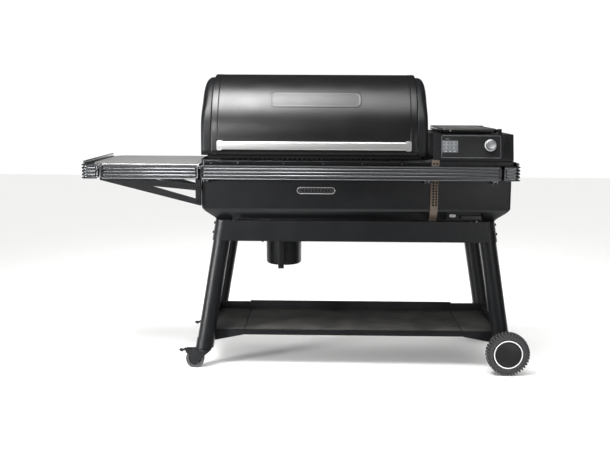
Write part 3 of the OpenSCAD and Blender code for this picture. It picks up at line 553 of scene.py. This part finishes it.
class GRILL_OT_lid(Maker, bpy.types.Operator):
    """Drum, end caps and raised panel of the lid"""
    bl_idname = "grill.lid"
    bl_label = "Lid"

    def drum(self):
        lo, hi = box_mm("lid_shell")
        lap, wide = 26.0, 1.6
        stations = [(0, 2.5), (0.4, 1.2), (2.0, 0.3), (4.0, 0.0), (lap - wide, 0.0), (lap, 1.3),
                    (lap + wide, 0.6), (lap + 3 * wide, 0.6)]
        ends = [(lo.x + at, inset) for at, inset in stations]
        ends += [(lo.x + (hi.x - lo.x) * i / 6, 0.6) for i in range(1, 6)]
        ends += [(hi.x - at, inset) for at, inset in reversed(stations)]
        bm = bmesh.new()
        loft(bm, [lid_ring(x, inset) for x, inset in ends], closed=False)
        piece("lid_drum", bm, "lid", "satin powder coat", ("lid_shell",), thick=2.2)
        flanges = bmesh.new()
        for x in (lo.x + 1.2, hi.x - 1.2):
            loft(flanges, [lid_ring(x, 2.4), lid_ring(x, lambda rise: 5 + 11 * rise)],
                 closed=False)
        piece("lid_flanges", flanges, "lid", "powder-coated steel", thick=1.5)

    def cap(self, node, name, way):
        lo, hi = box_mm(node)
        seam, width = lo.x if way > 0 else hi.x, hi.x - lo.x
        step, steps = sizes().cap_step, 12
        rings = [lid_ring(seam + way * d, inset, step) for d, inset in
                 ((0, 2.0), (1.0, 0.9), (3, 0.2), (6, 0.0))]
        for i in range(steps + 1):
            a = math.radians(90 * i / steps)
            rings.append(lid_ring(
                lambda rise: seam + way * (width - (18 + 10 * rise) * (1 - math.sin(a))),
                lambda rise: (18 + 20 * rise) * (1 - math.cos(a)), step))
        bm = bmesh.new()
        rows = loft(bm, rings, closed=False)
        bm.faces.new(rows[-1])
        piece(name, bm, "lid", "powder-coated steel", (node,), crease=50, thick=2.2)

    def raised_panel(self):
        """A blank low-relief panel that follows the drum's curve."""
        lo, hi = box_mm("lid_shell")
        r = sizes().drum_r
        centre = (lo.y + r, hi.z - r)
        x0, x1, low, high = -150.0, 210.0, 27.0, 44.0
        depth = 0.6
        bm = bmesh.new()

        def at(x, turn, out):
            a = math.radians(180 - turn)
            k = r - depth + out
            return (x, centre[0] + k * math.cos(a), centre[1] + k * math.sin(a))
        outline = round_rect(x0, low * 4, x1, high * 4, 22, 6)
        rings = []
        for grow, out in ((3.0, -0.4), (1.4, 0.3), (0, 0.5), (-5, 0.5), (-7, 0.1), (-9, 0.0)):
            cx, cy = (x0 + x1) / 2, (low + high) * 2
            ring = []
            for x, t in outline:
                kx = 1 + grow / ((x1 - x0) / 2)
                ky = 1 + grow / ((high - low) * 2)
                ring.append(at(cx + (x - cx) * kx, (cy + (t - cy) * ky) / 4, out))
            rings.append(ring)
        loft(bm, rings)
        piece("lid_raised_panel", bm, "lid", "satin powder coat")

    def make(self):
        self.drum()
        self.cap("left_lid_cap", "lid_cap_left", -1)
        self.cap("right_lid_cap", "lid_cap_right", 1)
        self.raised_panel()


class GRILL_OT_handle(Maker, bpy.types.Operator):
    """Handle bar with its end feet"""
    bl_idname = "grill.handle"
    bl_label = "Lid handle"

    def make(self):
        lo, hi = box_mm("lid_handle")
        foot = 22.0
        bar = bmesh.new()
        swept(bar, round_rect(lo.y, lo.z + 3, lo.y + 19, hi.z - 3, 6), "x", lo.x + 3, hi.x - 3)
        piece("handle_bar", bar, "lid", "satin anodised aluminium", ("lid_handle",),
              edge=1.0)
        ends = bmesh.new()
        for x in (lo.x, hi.x - foot):
            swept(ends, round_rect(x, lo.z, x + foot, hi.z, 6), "y", lo.y + 0.3, hi.y)
        piece("handle_feet", ends, "lid", "satin anodised aluminium", edge=1.5)


# Barrel ---------------------------------------------------------------------------------

class GRILL_OT_barrel(Maker, bpy.types.Operator):
    """Walls and bottom of the barrel, folded from sheet"""
    bl_idname = "grill.barrel"
    bl_label = "Barrel"

    def levels(self):
        """Heights of the barrel's skin, with how far it has drawn in at each."""
        _, rear_hi = box_mm("rear_wall")
        front_lo, _ = box_mm("front_wall")
        in_x, in_y, rise = sizes().chamfer
        bend = 10.0
        k = bend / rise
        low, top = front_lo.z, rear_hi.z
        path = [(top, 0, 0), (top - 60, 0, 0), (low + rise + bend * 0.8, 0, 0)]
        for u in (0.25, 0.6, 1.0):
            path.append((low + rise + bend * 0.8 * (1 - u) - rise * k * 0.9 * u * u,
                         in_x * k * 0.9 * u * u, in_y * k * 0.9 * u * u))
        for u in (1.0, 0.5, 0.2, 0.0):
            v = u * k * 0.7
            path.append((low + rise * v * u, in_x * (1 - v), in_y * (1 - v)))
        return path

    def make(self):
        tray_lo, tray_hi = box_mm("barrel_tray")
        _, rear_hi = box_mm("rear_wall")
        cx, flat = (tray_lo.x + tray_hi.x) / 2, tray_hi.y
        corner, thick = 9.0, 2.0
        front, rear, left, right = [], [], [], []
        for z, dx, dy in self.levels():
            hx, hy = tray_hi.x - cx - dx, rear_hi.y - dy
            r = min(corner, max(1.0, hy - flat - 0.5))
            outline = ([(-hx, -flat)] + arc(-hx + r, -hy + r, r, 180, 270, 5)
                       + arc(hx - r, -hy + r, r, 270, 360, 5) + [(hx, -flat)])
            front.append([(cx + x, y, z) for x, y in outline])
            rear.append([(cx + x, -y, z) for x, y in outline])
            left.append([(cx - hx, y, z) for y in (-flat, 0, flat)])
            right.append([(cx + hx, y, z) for y in (-flat, 0, flat)])
        bottom = [[(cx - hx, y, z), (cx + hx, y, z)] for y in (-flat - 2, 0, flat + 2)]
        coat, made = "powder-coated steel", {}
        for name, node, skins in (("barrel_front", "front_wall", [front]),
                                  ("barrel_rear", "rear_wall", [rear]),
                                  ("barrel_bottom", "barrel_tray", [left, right, bottom])):
            bm = bmesh.new()
            for rings in skins:
                loft(bm, rings, closed=False)
            made[name] = piece(name, bm, "grill", coat, (node,),
                               thick=thick)
        self.open_recess(made["barrel_front"])
        self.ledge(coat)

    def open_recess(self, wall):
        """Cuts the opening that the switch recess looks out of."""
        lo, hi = box_mm("switch_recess")
        bm = bmesh.new()
        slab(bm, (lo.x + 1, lo.y - 22, lo.z), (hi.x - 1, lo.y + 38, hi.z))
        bmesh.ops.scale(bm, vec=(MM, MM, MM), verts=bm.verts)
        cutter = mesh_object("recess_cutter", bm)
        hole = wall.modifiers.new("recess", "BOOLEAN")
        hole.object = cutter
        hole.operation = "DIFFERENCE"
        hole.solver = "EXACT"
        bake(wall)
        bpy.data.objects.remove(cutter)

    def ledge(self, coat):
        """Folded ledge along the front, above the rail."""
        front_lo, front_hi = box_mm("front_wall")
        rail_hi = box_mm("front_rails")[1].z
        band_lo, band_hi = box_mm("vent_band")
        bm = bmesh.new()
        step = 16.0
        swept(bm, round_rect(front_lo.y, rail_hi + 0.5, front_lo.y + 22, rail_hi + step, 2.5, 3),
              "x", front_lo.x + 14, band_hi.x + 1)
        hopper_side = bmesh.new()
        swept(hopper_side, round_rect(front_lo.y, rail_hi + 0.5, front_lo.y + 22,
                                      front_hi.z - 0.2, 3, 3), "x", band_hi.x + 1, front_hi.x - 1)
        piece("hopper_ledge", hopper_side, "grill", coat)
        # the ledge is coloured near-black as painted shade, where the lid and rail overhang it
        piece("front_ledge", bm, "grill", "black painted shade")
        # the strip along the ledge's top is the rails' brighter metal: partly painted highlight
        # of the flange's lit edge; the screw heads sit on it
        edge = bmesh.new()
        z = rail_hi + step
        screws = (-380, -275, -95, 60, 215, 370)
        slab(edge, (front_lo.x + 18, front_lo.y - 0.4, z - 1.0),
             (band_lo.x - 1, front_lo.y + 1.6, z + 0.4), 0.5)
        for x in screws:
            turned(edge, [(0.1, front_lo.y - 1.4), (2.2, front_lo.y - 1.0), (2.8, front_lo.y)],
                   (x, 0, z - 9), "y", 16)
        piece("ledge_edge", edge, "grill", "dark anodised aluminium")


def bake(obj):
    """Turns an object's modifiers into its mesh."""
    graph = bpy.context.evaluated_depsgraph_get()
    mesh = bpy.data.meshes.new_from_object(obj.evaluated_get(graph))
    obj.modifiers.clear()
    obj.data = mesh


# Rails ----------------------------------------------------------------------------------

class GRILL_OT_rails(Maker, bpy.types.Operator):
    """Accessory rails: extrusions with three round ribs inside a rounded frame"""
    bl_idname = "grill.rails"
    bl_label = "Rails"

    depth, floor, corner, half = 18.0, 10.5, 12.0, 28.5

    def section(self):
        """Half of the section is mirrored: how far out each point is, and its height in mm
        from the rail's middle."""
        lip = [(12.0, 28.5), (15.5, 28.1), (17.4, 26.9), (18.0, 25.3), (17.2, 23.7),
               (14.5, 22.6), (10.5, 22.1)]
        rib = [(10.5, 5.4), (13.2, 5.0), (15.6, 3.9), (17.0, 2.2), (17.4, 0.0)]
        rib += [(out, -z) for out, z in reversed(rib[:-1])]
        ribs = [(out, z + at) for at in (13.0, 0.0, -13.0) for out, z in rib]
        return ([(0.0, -self.half), (0.0, self.half)] + lip + ribs
                + [(out, -z) for out, z in reversed(lip)])

    def end_bar(self, t):
        """How far out the closing bar stands at a distance from the rail's end."""
        for at, out in ((0.6, 12.5), (1.6, 16.2), (3.2, 17.8), (4.8, 18.0), (6.4, 17.0),
                        (7.6, 14.0)):
            if t <= at:
                return out
        return 0.0

    def run(self, bm, path, middle, closed_ends):
        """Sweeps the section along a path of outer points and outward normals."""
        at = [0.0]
        for (x0, y0, *_), (x1, y1, *_) in zip(path, path[1:]):
            at.append(at[-1] + math.hypot(x1 - x0, y1 - y0))
        rings = []
        for (x, y, nx, ny), here in zip(path, at):
            t = min(here if closed_ends[0] else 1e3, at[-1] - here if closed_ends[1] else 1e3)
            c = self.corner
            drawn = c - math.sqrt(max(0.0, c * c - (c - t) ** 2)) if t < c else 0.0
            grown = min(1.0, max(0.0, (t - 8.5) / 4))
            k = (self.half - drawn) / self.half
            ring = []
            for out, z in self.section():
                if out:
                    rib = self.floor + (out - self.floor) * (grown if abs(z) < 22 else 1.0)
                    out = max(rib, self.end_bar(t))
                ring.append((x + nx * (out - self.depth), y + ny * (out - self.depth),
                             middle + z * k))
            rings.append(ring)
        loft(bm, rings, cap_start=True, cap_end=True)

    def marks(self, length):
        """Distances along a straight run: close together at its ends, where it is rounded."""
        near = [0, 0.6, 1.6, 3.2, 4.8, 6.4, 7.6, 8.5, 10, 12.5]
        return near + [length / 2] + [length - t for t in reversed(near)]

    def front(self):
        lo, hi = box_mm("front_rails")
        gap = (-429.0, -421.0)
        clips = (-402, 470, 735)
        middle = hi.z - self.half
        bm = bmesh.new()
        for x0, x1 in ((lo.x, gap[0]), (gap[1], hi.x)):
            self.run(bm, [(x0 + t, lo.y, 0, -1) for t in self.marks(x1 - x0)], middle,
                     (True, True))
        for x in clips:
            for side in (-9, 5):
                slab(bm, (x + side, lo.y + 8, lo.z), (x + side + 5, hi.y - 0.5, middle - 26), 1.2)
            slab(bm, (x - 9, lo.y + 10, lo.z + 6), (x + 10, hi.y - 0.5, middle - 26), 1.0)
        piece("rail_segments", bm, "grill", "dark anodised aluminium",
              ("front_rails",))

    def end(self, node, name, way):
        lo, hi = box_mm(node)
        outer = lo.x if way > 0 else hi.x
        inner = hi.x if way > 0 else lo.x
        width = 33.0 if way > 0 else 29.5
        upstand = 12.0
        top = hi.z - upstand
        turn = 26.0
        face = abs(inner - outer) - turn
        path = [(inner - way * t, lo.y, 0, -1) for t in
                (0, 0.6, 1.6, 3.2, 4.8, 6.4, 7.6, 8.5, 10, 12.5, face)]
        for i in range(1, 13):
            a = math.radians(7.5 * i)
            path.append((outer + way * turn * (1 - math.sin(a)), lo.y + turn * (1 - math.cos(a)),
                         -way * math.sin(a), -math.cos(a)))
        path += [(outer, y, -way, 0) for y in (lo.y + turn + 60, 0, hi.y - 60, hi.y)]
        bm = bmesh.new()
        self.run(bm, path, top - self.half, (True, False))
        x0, x1 = sorted((outer + way * 17.8, outer + way * width))
        slab(bm, (x0, lo.y + 18.5, top - 2 * self.half), (x1, hi.y, top), 1.5)
        x0, x1 = sorted((outer + way * 2, outer + way * 14))
        slab(bm, (x0, lo.y + 40, top - 2), (x1, hi.y, hi.z), 2.5)
        piece(name, bm, "grill", "dark anodised aluminium", (node,))

    def make(self):
        self.front()
        self.end("left_end_rail", "rail_end_left", 1)
        self.end("right_end_rail", "rail_end_right", -1)


# Badge, hopper and controls -------------------------------------------------------------

def insets(x0, z0, x1, z1, r, levels, steps):
    """Rings of a rounded rectangle facing along Y, drawn in by an inset at each level."""
    return [[(x, y, z) for x, z in round_rect(x0 + inset, z0 + inset, x1 - inset, z1 - inset,
                                              r - inset, steps)] for inset, y in levels]


class GRILL_OT_sockets(Maker, bpy.types.Operator):
    """Cover over the probe sockets, in the recess below the hopper"""
    bl_idname = "grill.sockets"
    bl_label = "Socket cover"

    def make(self):
        back = -246.0
        left, low, right, high = 613.0, 627.5, 696.0, 642.5
        bm = bmesh.new()
        levels = ((0, back - 9), (0, back - 10.2), (0.8, back - 11), (1.8, back - 11.2))
        loft(bm, insets(left, low, right, high, 4, levels, 4), cap_start=True, cap_end=True)
        piece("socket_cover", bm, "grill", "moulded nylon")


class GRILL_OT_vent(Maker, bpy.types.Operator):
    """Near-black plates in the bronze strip's two rows of square holes: painted shade inside them
    """
    bl_idname = "grill.vent"
    bl_label = "Vent strip"

    hole, pitch, margin, foot, skin, rows = 7.0, 11.0, 5.5, 21.0, 2.0, 9

    def make(self):
        lo, hi = box_mm("vent_band")
        wall_lo, _ = box_mm("front_wall")
        _, rail_hi = box_mm("front_rails")
        first = wall_lo.z + sizes().chamfer[2] + self.foot
        back = lo.y + self.skin
        bm = bmesh.new()
        for x in (lo.x + self.margin, hi.x - self.margin - self.hole):
            for z in [first + i * self.pitch for i in range(self.rows)] + [rail_hi.z + 6]:
                slab(bm, (x, back - 1.2, z), (x + self.hole, back - 0.4, z + self.hole))
        piece("vent_dark", bm, "grill", "painted hole shade")


class GRILL_OT_badge(Maker, bpy.types.Operator):
    """Blank badge with a raised rim"""
    bl_idname = "grill.badge"
    bl_label = "Badge"

    def make(self):
        lo, hi = box_mm("badge_plate")
        r = (hi.z - lo.z) / 2
        levels = ((0.6, hi.y), (0.6, lo.y + 1.5), (1.2, lo.y + 0.5), (2.4, lo.y),
                  (3.2, lo.y + 0.4), (3.8, lo.y + 1.6))
        rim = bmesh.new()
        loft(rim, insets(lo.x, lo.z, hi.x, hi.z, r - 0.1, levels, 8), cap_start=True)
        piece("badge_rim", rim, "grill", "satin anodised aluminium",
              ("badge_plate",))
        field = bmesh.new()
        swept(field, round_rect(lo.x + 3.6, lo.z + 3.6, hi.x - 3.6, hi.z - 3.6, r - 3.8, 8), "y",
              lo.y + 1.6, hi.y)
        piece("badge_field", field, "grill", "dark anodised aluminium")
        studs = bmesh.new()
        count, gap = 9, 13.0
        for i in range(count):
            x = (lo.x + hi.x) / 2 + (i - (count - 1) / 2) * gap
            slab(studs, (x - 3.6, lo.y + 0.8, lo.z + 9.5), (x + 3.6, lo.y + 2.2, hi.z - 9.5), 0.5)
        piece("badge_ribs", studs, "grill", "moulded ABS")


class GRILL_OT_hopper_lid(Maker, bpy.types.Operator):
    """Pressed lid of the pellet hopper"""
    bl_idname = "grill.hopper_lid"
    bl_label = "Hopper lid"

    def make(self):
        lo, hi = box_mm("hopper_lid")
        right, hinge_z = hi.x - 15.0, 979.0
        bm = bmesh.new()
        rings = []
        for inset, z in ((0, lo.z + 2), (0, hi.z - 7), (0.8, hi.z - 3.5), (3, hi.z - 1),
                         (7, hi.z), (16, hi.z), (18, hi.z - 1.2), (30, hi.z - 1.2)):
            rings.append([(x, y, z) for x, y in round_rect(
                lo.x + inset, lo.y + 9 + inset, right - inset, hi.y - 9 - inset,
                max(14 - inset * 0.6, 3), 6)])
        loft(bm, rings, cap_end=True)
        # the pressed top is painted paler where it faces up: painted light on its top
        piece("hopper_lid_pressing", bm, "hopper_hatch", "powder coat with painted top light",
              ("hopper_lid",), thick=2.0)
        stop = bmesh.new()
        turned(stop, [(0.1, lo.y + 2), (2.6, lo.y + 2), (3.2, lo.y + 3), (3.2, lo.y + 10)],
               (lo.x + 34, 0, hi.z - 8.5), "y", 20)
        piece("hopper_lid_stop", stop, "hopper_hatch", "satin anodised aluminium")
        hinge = bmesh.new()
        turned(hinge, [(0.1, lo.y + 1), (3, lo.y + 1), (3, lo.y + 15), (5.6, lo.y + 15.5),
                       (6, lo.y + 16.5), (6, hi.y - 16.5), (5.6, hi.y - 15.5), (3, hi.y - 15),
                       (3, hi.y - 1), (0.1, hi.y - 1)], (hi.x - 6, 0, hinge_z), "y", 24)
        slab(hinge, (right - 2, lo.y + 20, hinge_z - 3), (hi.x - 6, hi.y - 20, hinge_z + 3), 0.8)
        piece("hopper_lid_hinge", hinge, "hopper_hatch", "powder-coated steel")


def tip_onto_fascia(bm):
    """Moves what is drawn flat (X across, Y into the face, Z up it) onto the sloping fascia."""
    lo, _ = box_mm("hopper_casing")
    foot_z, tall, lean = 872.0, 96.0, 21.0
    place = (Matrix.Translation((0, lo.y, foot_z))
             @ Matrix.Rotation(math.atan2(-lean, tall), 4, "X"))
    bmesh.ops.transform(bm, matrix=place, verts=bm.verts)


class GRILL_OT_controls(Maker, bpy.types.Operator):
    """Display with its tiles, and the dial"""
    bl_idname = "grill.controls"
    bl_label = "Controls"

    def display(self):
        lo, hi = box_mm("display_screen")
        low, high = 25.5, 72.5
        glass = bmesh.new()
        slab(glass, (lo.x, -2.4, low), (hi.x, 0.6, high), 0.6)
        tip_onto_fascia(glass)
        piece("display_glass", glass, "grill", "backlit display",
              ("display_screen",))
        tiles = bmesh.new()
        gap, bar = 3.0, 7.0
        wide = (hi.x - lo.x - 3 * gap) / 2
        tall = (high - low - bar - 4 * gap) / 2
        for i in range(2):
            for j in range(2):
                x = lo.x + gap + i * (wide + gap)
                z = low + bar + 2 * gap + j * (tall + gap)
                rim = 0.6
                for x0, z0, x1, z1 in ((x, z, x + wide, z + rim),
                                       (x, z + tall - rim, x + wide, z + tall),
                                       (x, z, x + rim, z + tall),
                                       (x + wide - rim, z, x + wide, z + tall)):
                    slab(tiles, (x0, -2.7, z0), (x1, -2.3, z1))
                cx, cz = x + wide / 2, z + tall / 2
                turned(tiles, [(0.1, -2.8), (2.6, -2.8), (2.6, -2.3), (0.1, -2.3)],
                       (cx, 0, cz + 1.5), "y", 20)
                slab(tiles, (cx - 7, -2.7, cz - 5.5), (cx + 7, -2.3, cz - 4.3))
        for k in range(3):
            x = lo.x + 14 + k * 17
            slab(tiles, (x - 4, -2.7, low + gap), (x + 4, -2.3, low + gap + 4))
        tip_onto_fascia(tiles)
        piece("display_tiles", tiles, "grill", "display segments")

    def dial(self):
        lo, hi = box_mm("dial_knob")
        cx = (lo.x + hi.x) / 2
        up = 54.0
        knob = bmesh.new()
        turned(knob, [(6, -6.8), (19.2, -6.8), (19.8, -8.5), (19.8, -23), (19.2, -25.4),
                      (17.6, -26.6), (16.4, -27), (15.2, -26.2), (0.1, -25.8)],
               (cx, 0, up), "y", 72)
        tip_onto_fascia(knob)
        piece("dial_body", knob, "dial", "turned aluminium", ("dial_knob",))
        grip = bmesh.new()
        teeth = 48
        for i in range(teeth):
            a = 2 * math.pi * i / teeth
            x, z = cx + 19.9 * math.cos(a), up + 19.9 * math.sin(a)
            slab(grip, (x - 0.45, -22.0, z - 0.45), (x + 0.45, -9.5, z + 0.45))
        tip_onto_fascia(grip)
        piece("dial_knurl", grip, "dial", "turned aluminium")
        ring = bmesh.new()
        turned(ring, [(20.2, -4.6), (22.8, -4.6), (23, -6), (22.6, -9.5), (21.6, -10.4),
                      (20.2, -10), (20.2, -4.6)], (cx, 0, up), "y", 72, from_axis=False)
        tip_onto_fascia(ring)
        piece("dial_ring", ring, "dial", "silvered trim")

    def frame(self):
        """Polished bead round the fascia, and the little indicator marks over the display."""
        lo, hi = box_mm("control_panel")
        low, high = 3.5, 93.0
        bead = bmesh.new()
        levels = ((0, 0.2), (0, -2.2), (0.5, -3.0), (1.3, -3.2), (2.0, -2.8), (2.2, -1.9),
                  (2.2, 0.2))
        loft(bead, insets(lo.x, low, hi.x, high, 6, levels, 4))
        tip_onto_fascia(bead)
        # the bead's lighter grey is a painted highlight along the fascia's edge, besides its
        # gloss
        piece("fascia_bead", bead, "grill", "glossy ABS with painted highlight")
        glass = bmesh.new()
        swept(glass, round_rect(lo.x + 2.4, low + 2.4, hi.x - 2.4, high - 2.4, 4, 4), "y", -1.9,
              0.2)
        tip_onto_fascia(glass)
        piece("fascia_face", glass, "grill", "moulded ABS", ("control_panel",))
        ridges = bmesh.new()
        for at, wide in ((11, 6), (22, 4), (30, 3)):
            slab(ridges, (hi.x + at, -1.4, low), (hi.x + at + wide, 0.6, high - 1), 0.7)
        tip_onto_fascia(ridges)
        piece("casing_ridges", ridges, "grill", "satin powder coat")
        marks = bmesh.new()
        lamps = (540.5, 544.5, 548.5, 553.5)
        for x in lamps:
            slab(marks, (x, -2.2, 78.4), (x + 2.6, -1.7, 80.2))
        tip_onto_fascia(marks)
        piece("fascia_marks", marks, "grill", "display segments")

    def make(self):
        self.frame()
        self.display()
        self.dial()


# Wheels, casters and keg ----------------------------------------------------------------

class GRILL_OT_wheels(Maker, bpy.types.Operator):
    """The two large wheels: treaded tyres, discs, hub caps and bright rings"""
    bl_idname = "grill.wheels"
    bl_label = "Wheels"

    def wheel(self, end, way):
        lo, hi = box_mm(end + "_tyre")
        mid = (lo + hi) / 2
        r = hi.z - mid.z
        half = (hi.y - lo.y) / 2
        body = end + "_wheel"

        def out(d):
            """How far along the axle a depth from the outer face lies."""
            return way * (half - d)

        carcass = bmesh.new()
        side = [(62, out(8)), (62, out(2.5)), (64, out(0.8)), (66, out(0.8)), (67, out(1.8)),
                (72, out(1.2)), (76.5, out(2.0)), (79, out(5)), (80, out(9))]
        turned(carcass, side + [(rad, -y) for rad, y in reversed(side)] + [side[0]], mid, "y", 96,
               from_axis=False)
        piece(end + "_tyre_carcass", carcass, body, "tyre rubber",
              (end + "_tyre",))
        tread = bmesh.new()
        blocks = 40
        for row in (-1, 1):
            for i in range(blocks):
                turn = 2 * math.pi * (i + (0.5 if row > 0 else 0)) / blocks
                spin = Matrix.Translation(mid) @ Matrix.Rotation(turn, 4, "Y")
                made = bmesh.new()
                y0, y1 = sorted((row * 1.2, row * (half - 0.5)))
                slab(made, (r - 9, y0, -3.4), (r - 0.4, y1, 3.4), 1.0, 2)
                for v in made.verts:
                    shoulder = max(0.0, abs(v.co.y) - (half - 9)) / 9
                    v.co.x -= 3.5 * shoulder * shoulder
                    v.co.z += 1.6 * (abs(v.co.y) / half) * row
                stamp(tread, made, spin)
        piece(end + "_tread", tread, body, "tyre rubber")
        disc = bmesh.new()
        face = [(61.8, out(9)), (61.8, out(4)), (60.2, out(3.2)), (53, out(3.6)), (51.5, out(5)),
                (50, out(5)), (48, out(2.5)), (40, out(0.6)), (26, out(-0.6)), (12, out(-1.2)),
                (0.1, out(-1.4))]
        turned(disc, [(0.1, out(9))] + face, mid, "y", 72)
        piece(end + "_hub_cap", disc, body, "moulded nylon", (end + "_hub",))
        ring = bmesh.new()
        turned(ring, [(53.6, out(4.6)), (53.6, out(1.9)), (54.6, out(1.3)), (57.0, out(1.3)),
                      (58.0, out(1.9)), (58.0, out(4.6)), (53.6, out(4.6))], mid, "y", 96,
               from_axis=False)
        piece(end + "_wheel_ring", ring, body, "silvered trim")
        back = bmesh.new()
        turned(back, [(9, out(2 * half - 2)), (17, out(2 * half - 2)), (18, out(2 * half - 4)),
                      (18, out(12)), (9, out(12)), (9, out(2 * half - 2))], mid, "y", 40,
               from_axis=False)
        spokes = 8
        for i in range(spokes):
            spin = Matrix.Translation(mid) @ Matrix.Rotation(2 * math.pi * i / spokes, 4, "Y")
            made = bmesh.new()
            y0, y1 = sorted((out(11), out(2 * half - 10)))
            slab(made, (16, y0, -2), (62, y1, 2), 0.8, 2)
            stamp(back, made, spin)
        piece(end + "_wheel_spokes", back, body, "moulded nylon")

    def make(self):
        self.wheel("front", -1)
        self.wheel("rear", 1)


class GRILL_OT_casters(Maker, bpy.types.Operator):
    """Hub discs on both sides of the two casters"""
    bl_idname = "grill.casters"
    bl_label = "Casters"

    def make(self):
        for end, way in (("front", -1), ("rear", 1)):
            lo, hi = box_mm(end + "_caster_wheel")
            mid = (lo + hi) / 2
            half = (hi.y - lo.y) / 2
            for side, name in ((way, "_caster_disc"), (-way, "_caster_disc_back")):
                disc = bmesh.new()
                turned(disc, [(12.4, side * (half - 3.8)), (25.6, side * (half - 3.8)),
                              (25.6, side * (half - 2.2)), (24, side * (half - 1.6)),
                              (22, side * (half - 1.8)), (20.5, side * (half - 3)),
                              (16.5, side * (half - 3)), (15.5, side * (half - 1.2)),
                              (13, side * (half - 0.8)), (12.4, side * (half - 1)),
                              (12.4, side * (half - 3.8))], mid, "y", 60, from_axis=False)
                piece(end + name, disc, end + "_caster_roller", "moulded nylon")


class GRILL_OT_deck(Maker, bpy.types.Operator):
    """Three pressed panels that line the lower shelf"""
    bl_idname = "grill.deck"
    bl_label = "Lower shelf"

    end_panel, joint, back_lip = 147.0, 3.0, 38.0

    def make(self):
        lo, hi = box_mm("lower_shelf")
        top = hi.z - self.back_lip
        seams = [lo.x + 4, lo.x + self.end_panel, hi.x - self.end_panel, hi.x - 4]
        bm = bmesh.new()
        for left, right in zip(seams, seams[1:]):
            slab(bm, (left + self.joint / 2, lo.y + 18, top + 0.2),
                 (right - self.joint / 2, hi.y - 3, top + 1.6), 0.7)
        # the panels are painted paler where they face up: painted light on the shelf's deck
        piece("shelf_panels", bm, "grill", "powder coat with painted top light")


class GRILL_OT_keg(Maker, bpy.types.Operator):
    """Grease keg with its strap"""
    bl_idname = "grill.keg"
    bl_label = "Grease keg"

    def make(self):
        lo, hi = box_mm("grease_keg")
        mid_x = (lo.x + hi.x) / 2
        r = (hi.x - lo.x) / 2
        mid = Vector((mid_x, hi.y - r, 0))
        z0, z1 = lo.z + 2, hi.z
        bm = bmesh.new()
        wall = [(0.1, z0 + 2), (r - 14, z0 + 2), (r - 11, z0), (r - 7, z0 + 0.6),
                (r - 2.5, z0 + 3.5), (r, z0 + 9), (r, z1 - 8), (r, z1 - 4), (r - 0.4, z1 - 1),
                (r - 2, z1), (r - 2.6, z1 - 2), (r - 2.6, z0 + 12), (0.1, z0 + 12)]
        turned(bm, wall, mid, "z", 96)
        piece("keg_bucket", bm, "keg", "powder-coated steel",
              ("grease_keg",))
        strap = bmesh.new()
        cx = mid_x - 9
        front = mid.y - r
        path = [(front + 4, z1 - 12), (front - 6, z1 - 13), (front - 11, z1 - 20),
                (front - 12.5, z1 - 40), (front - 12.5, lo.z + 6), (front - 12, lo.z - 3),
                (front - 9, lo.z - 8), (front - 4, lo.z - 7), (front - 1, lo.z - 1)]
        rings = []
        for (y, z), (py, pz), (ny, nz) in zip(path, [path[0]] + path[:-1], path[1:] + [path[-1]]):
            t = Vector((0, ny - py, nz - pz)).normalized()
            n = Vector((0, t.z, -t.y))
            rings.append([Vector((cx + sx, y, z)) + n * sn for sx, sn in
                          ((-12, -1.2), (-11, -1.6), (11, -1.6), (12, -1.2), (12, 1.2), (11, 1.6),
                           (-11, 1.6), (-12, 1.2))])
        loft(strap, rings, cap_start=True, cap_end=True)
        piece("keg_strap", strap, "keg", "powder-coated steel")


# Panel and registration -----------------------------------------------------------------

STEPS = (GRILL_OT_stage, GRILL_OT_kept, GRILL_OT_lid, GRILL_OT_handle, GRILL_OT_barrel,
         GRILL_OT_rails, GRILL_OT_sockets, GRILL_OT_vent, GRILL_OT_casters, GRILL_OT_badge,
         GRILL_OT_hopper_lid, GRILL_OT_controls, GRILL_OT_wheels, GRILL_OT_deck, GRILL_OT_keg)


class GRILL_PT_panel(bpy.types.Panel):
    """Steps that build the grill"""
    bl_label = "Pellet Smoker Grill"
    bl_idname = "GRILL_PT_panel"
    bl_space_type = "VIEW_3D"
    bl_region_type = "UI"
    bl_category = "Grill"

    def draw(self, context):
        for step in STEPS:
            self.layout.operator(step.bl_idname)
        for group in (context.scene.grill_finish, context.scene.grill_sizes):
            for key in group.__annotations__:
                self.layout.prop(group, key)


CLASSES = (GrillFinish, GrillSizes, *STEPS, GRILL_PT_panel)


def register():
    for cls in CLASSES:
        bpy.utils.register_class(cls)
    bpy.types.Scene.grill_finish = bpy.props.PointerProperty(type=GrillFinish)
    bpy.types.Scene.grill_sizes = bpy.props.PointerProperty(type=GrillSizes)


def unregister():
    del bpy.types.Scene.grill_sizes
    del bpy.types.Scene.grill_finish
    for cls in reversed(CLASSES):
        bpy.utils.unregister_class(cls)


def main():
    register()
    for step in STEPS:
        family, name = step.bl_idname.split(".")
        getattr(getattr(bpy.ops, family), name)()


if __name__ == "__main__":
    main()
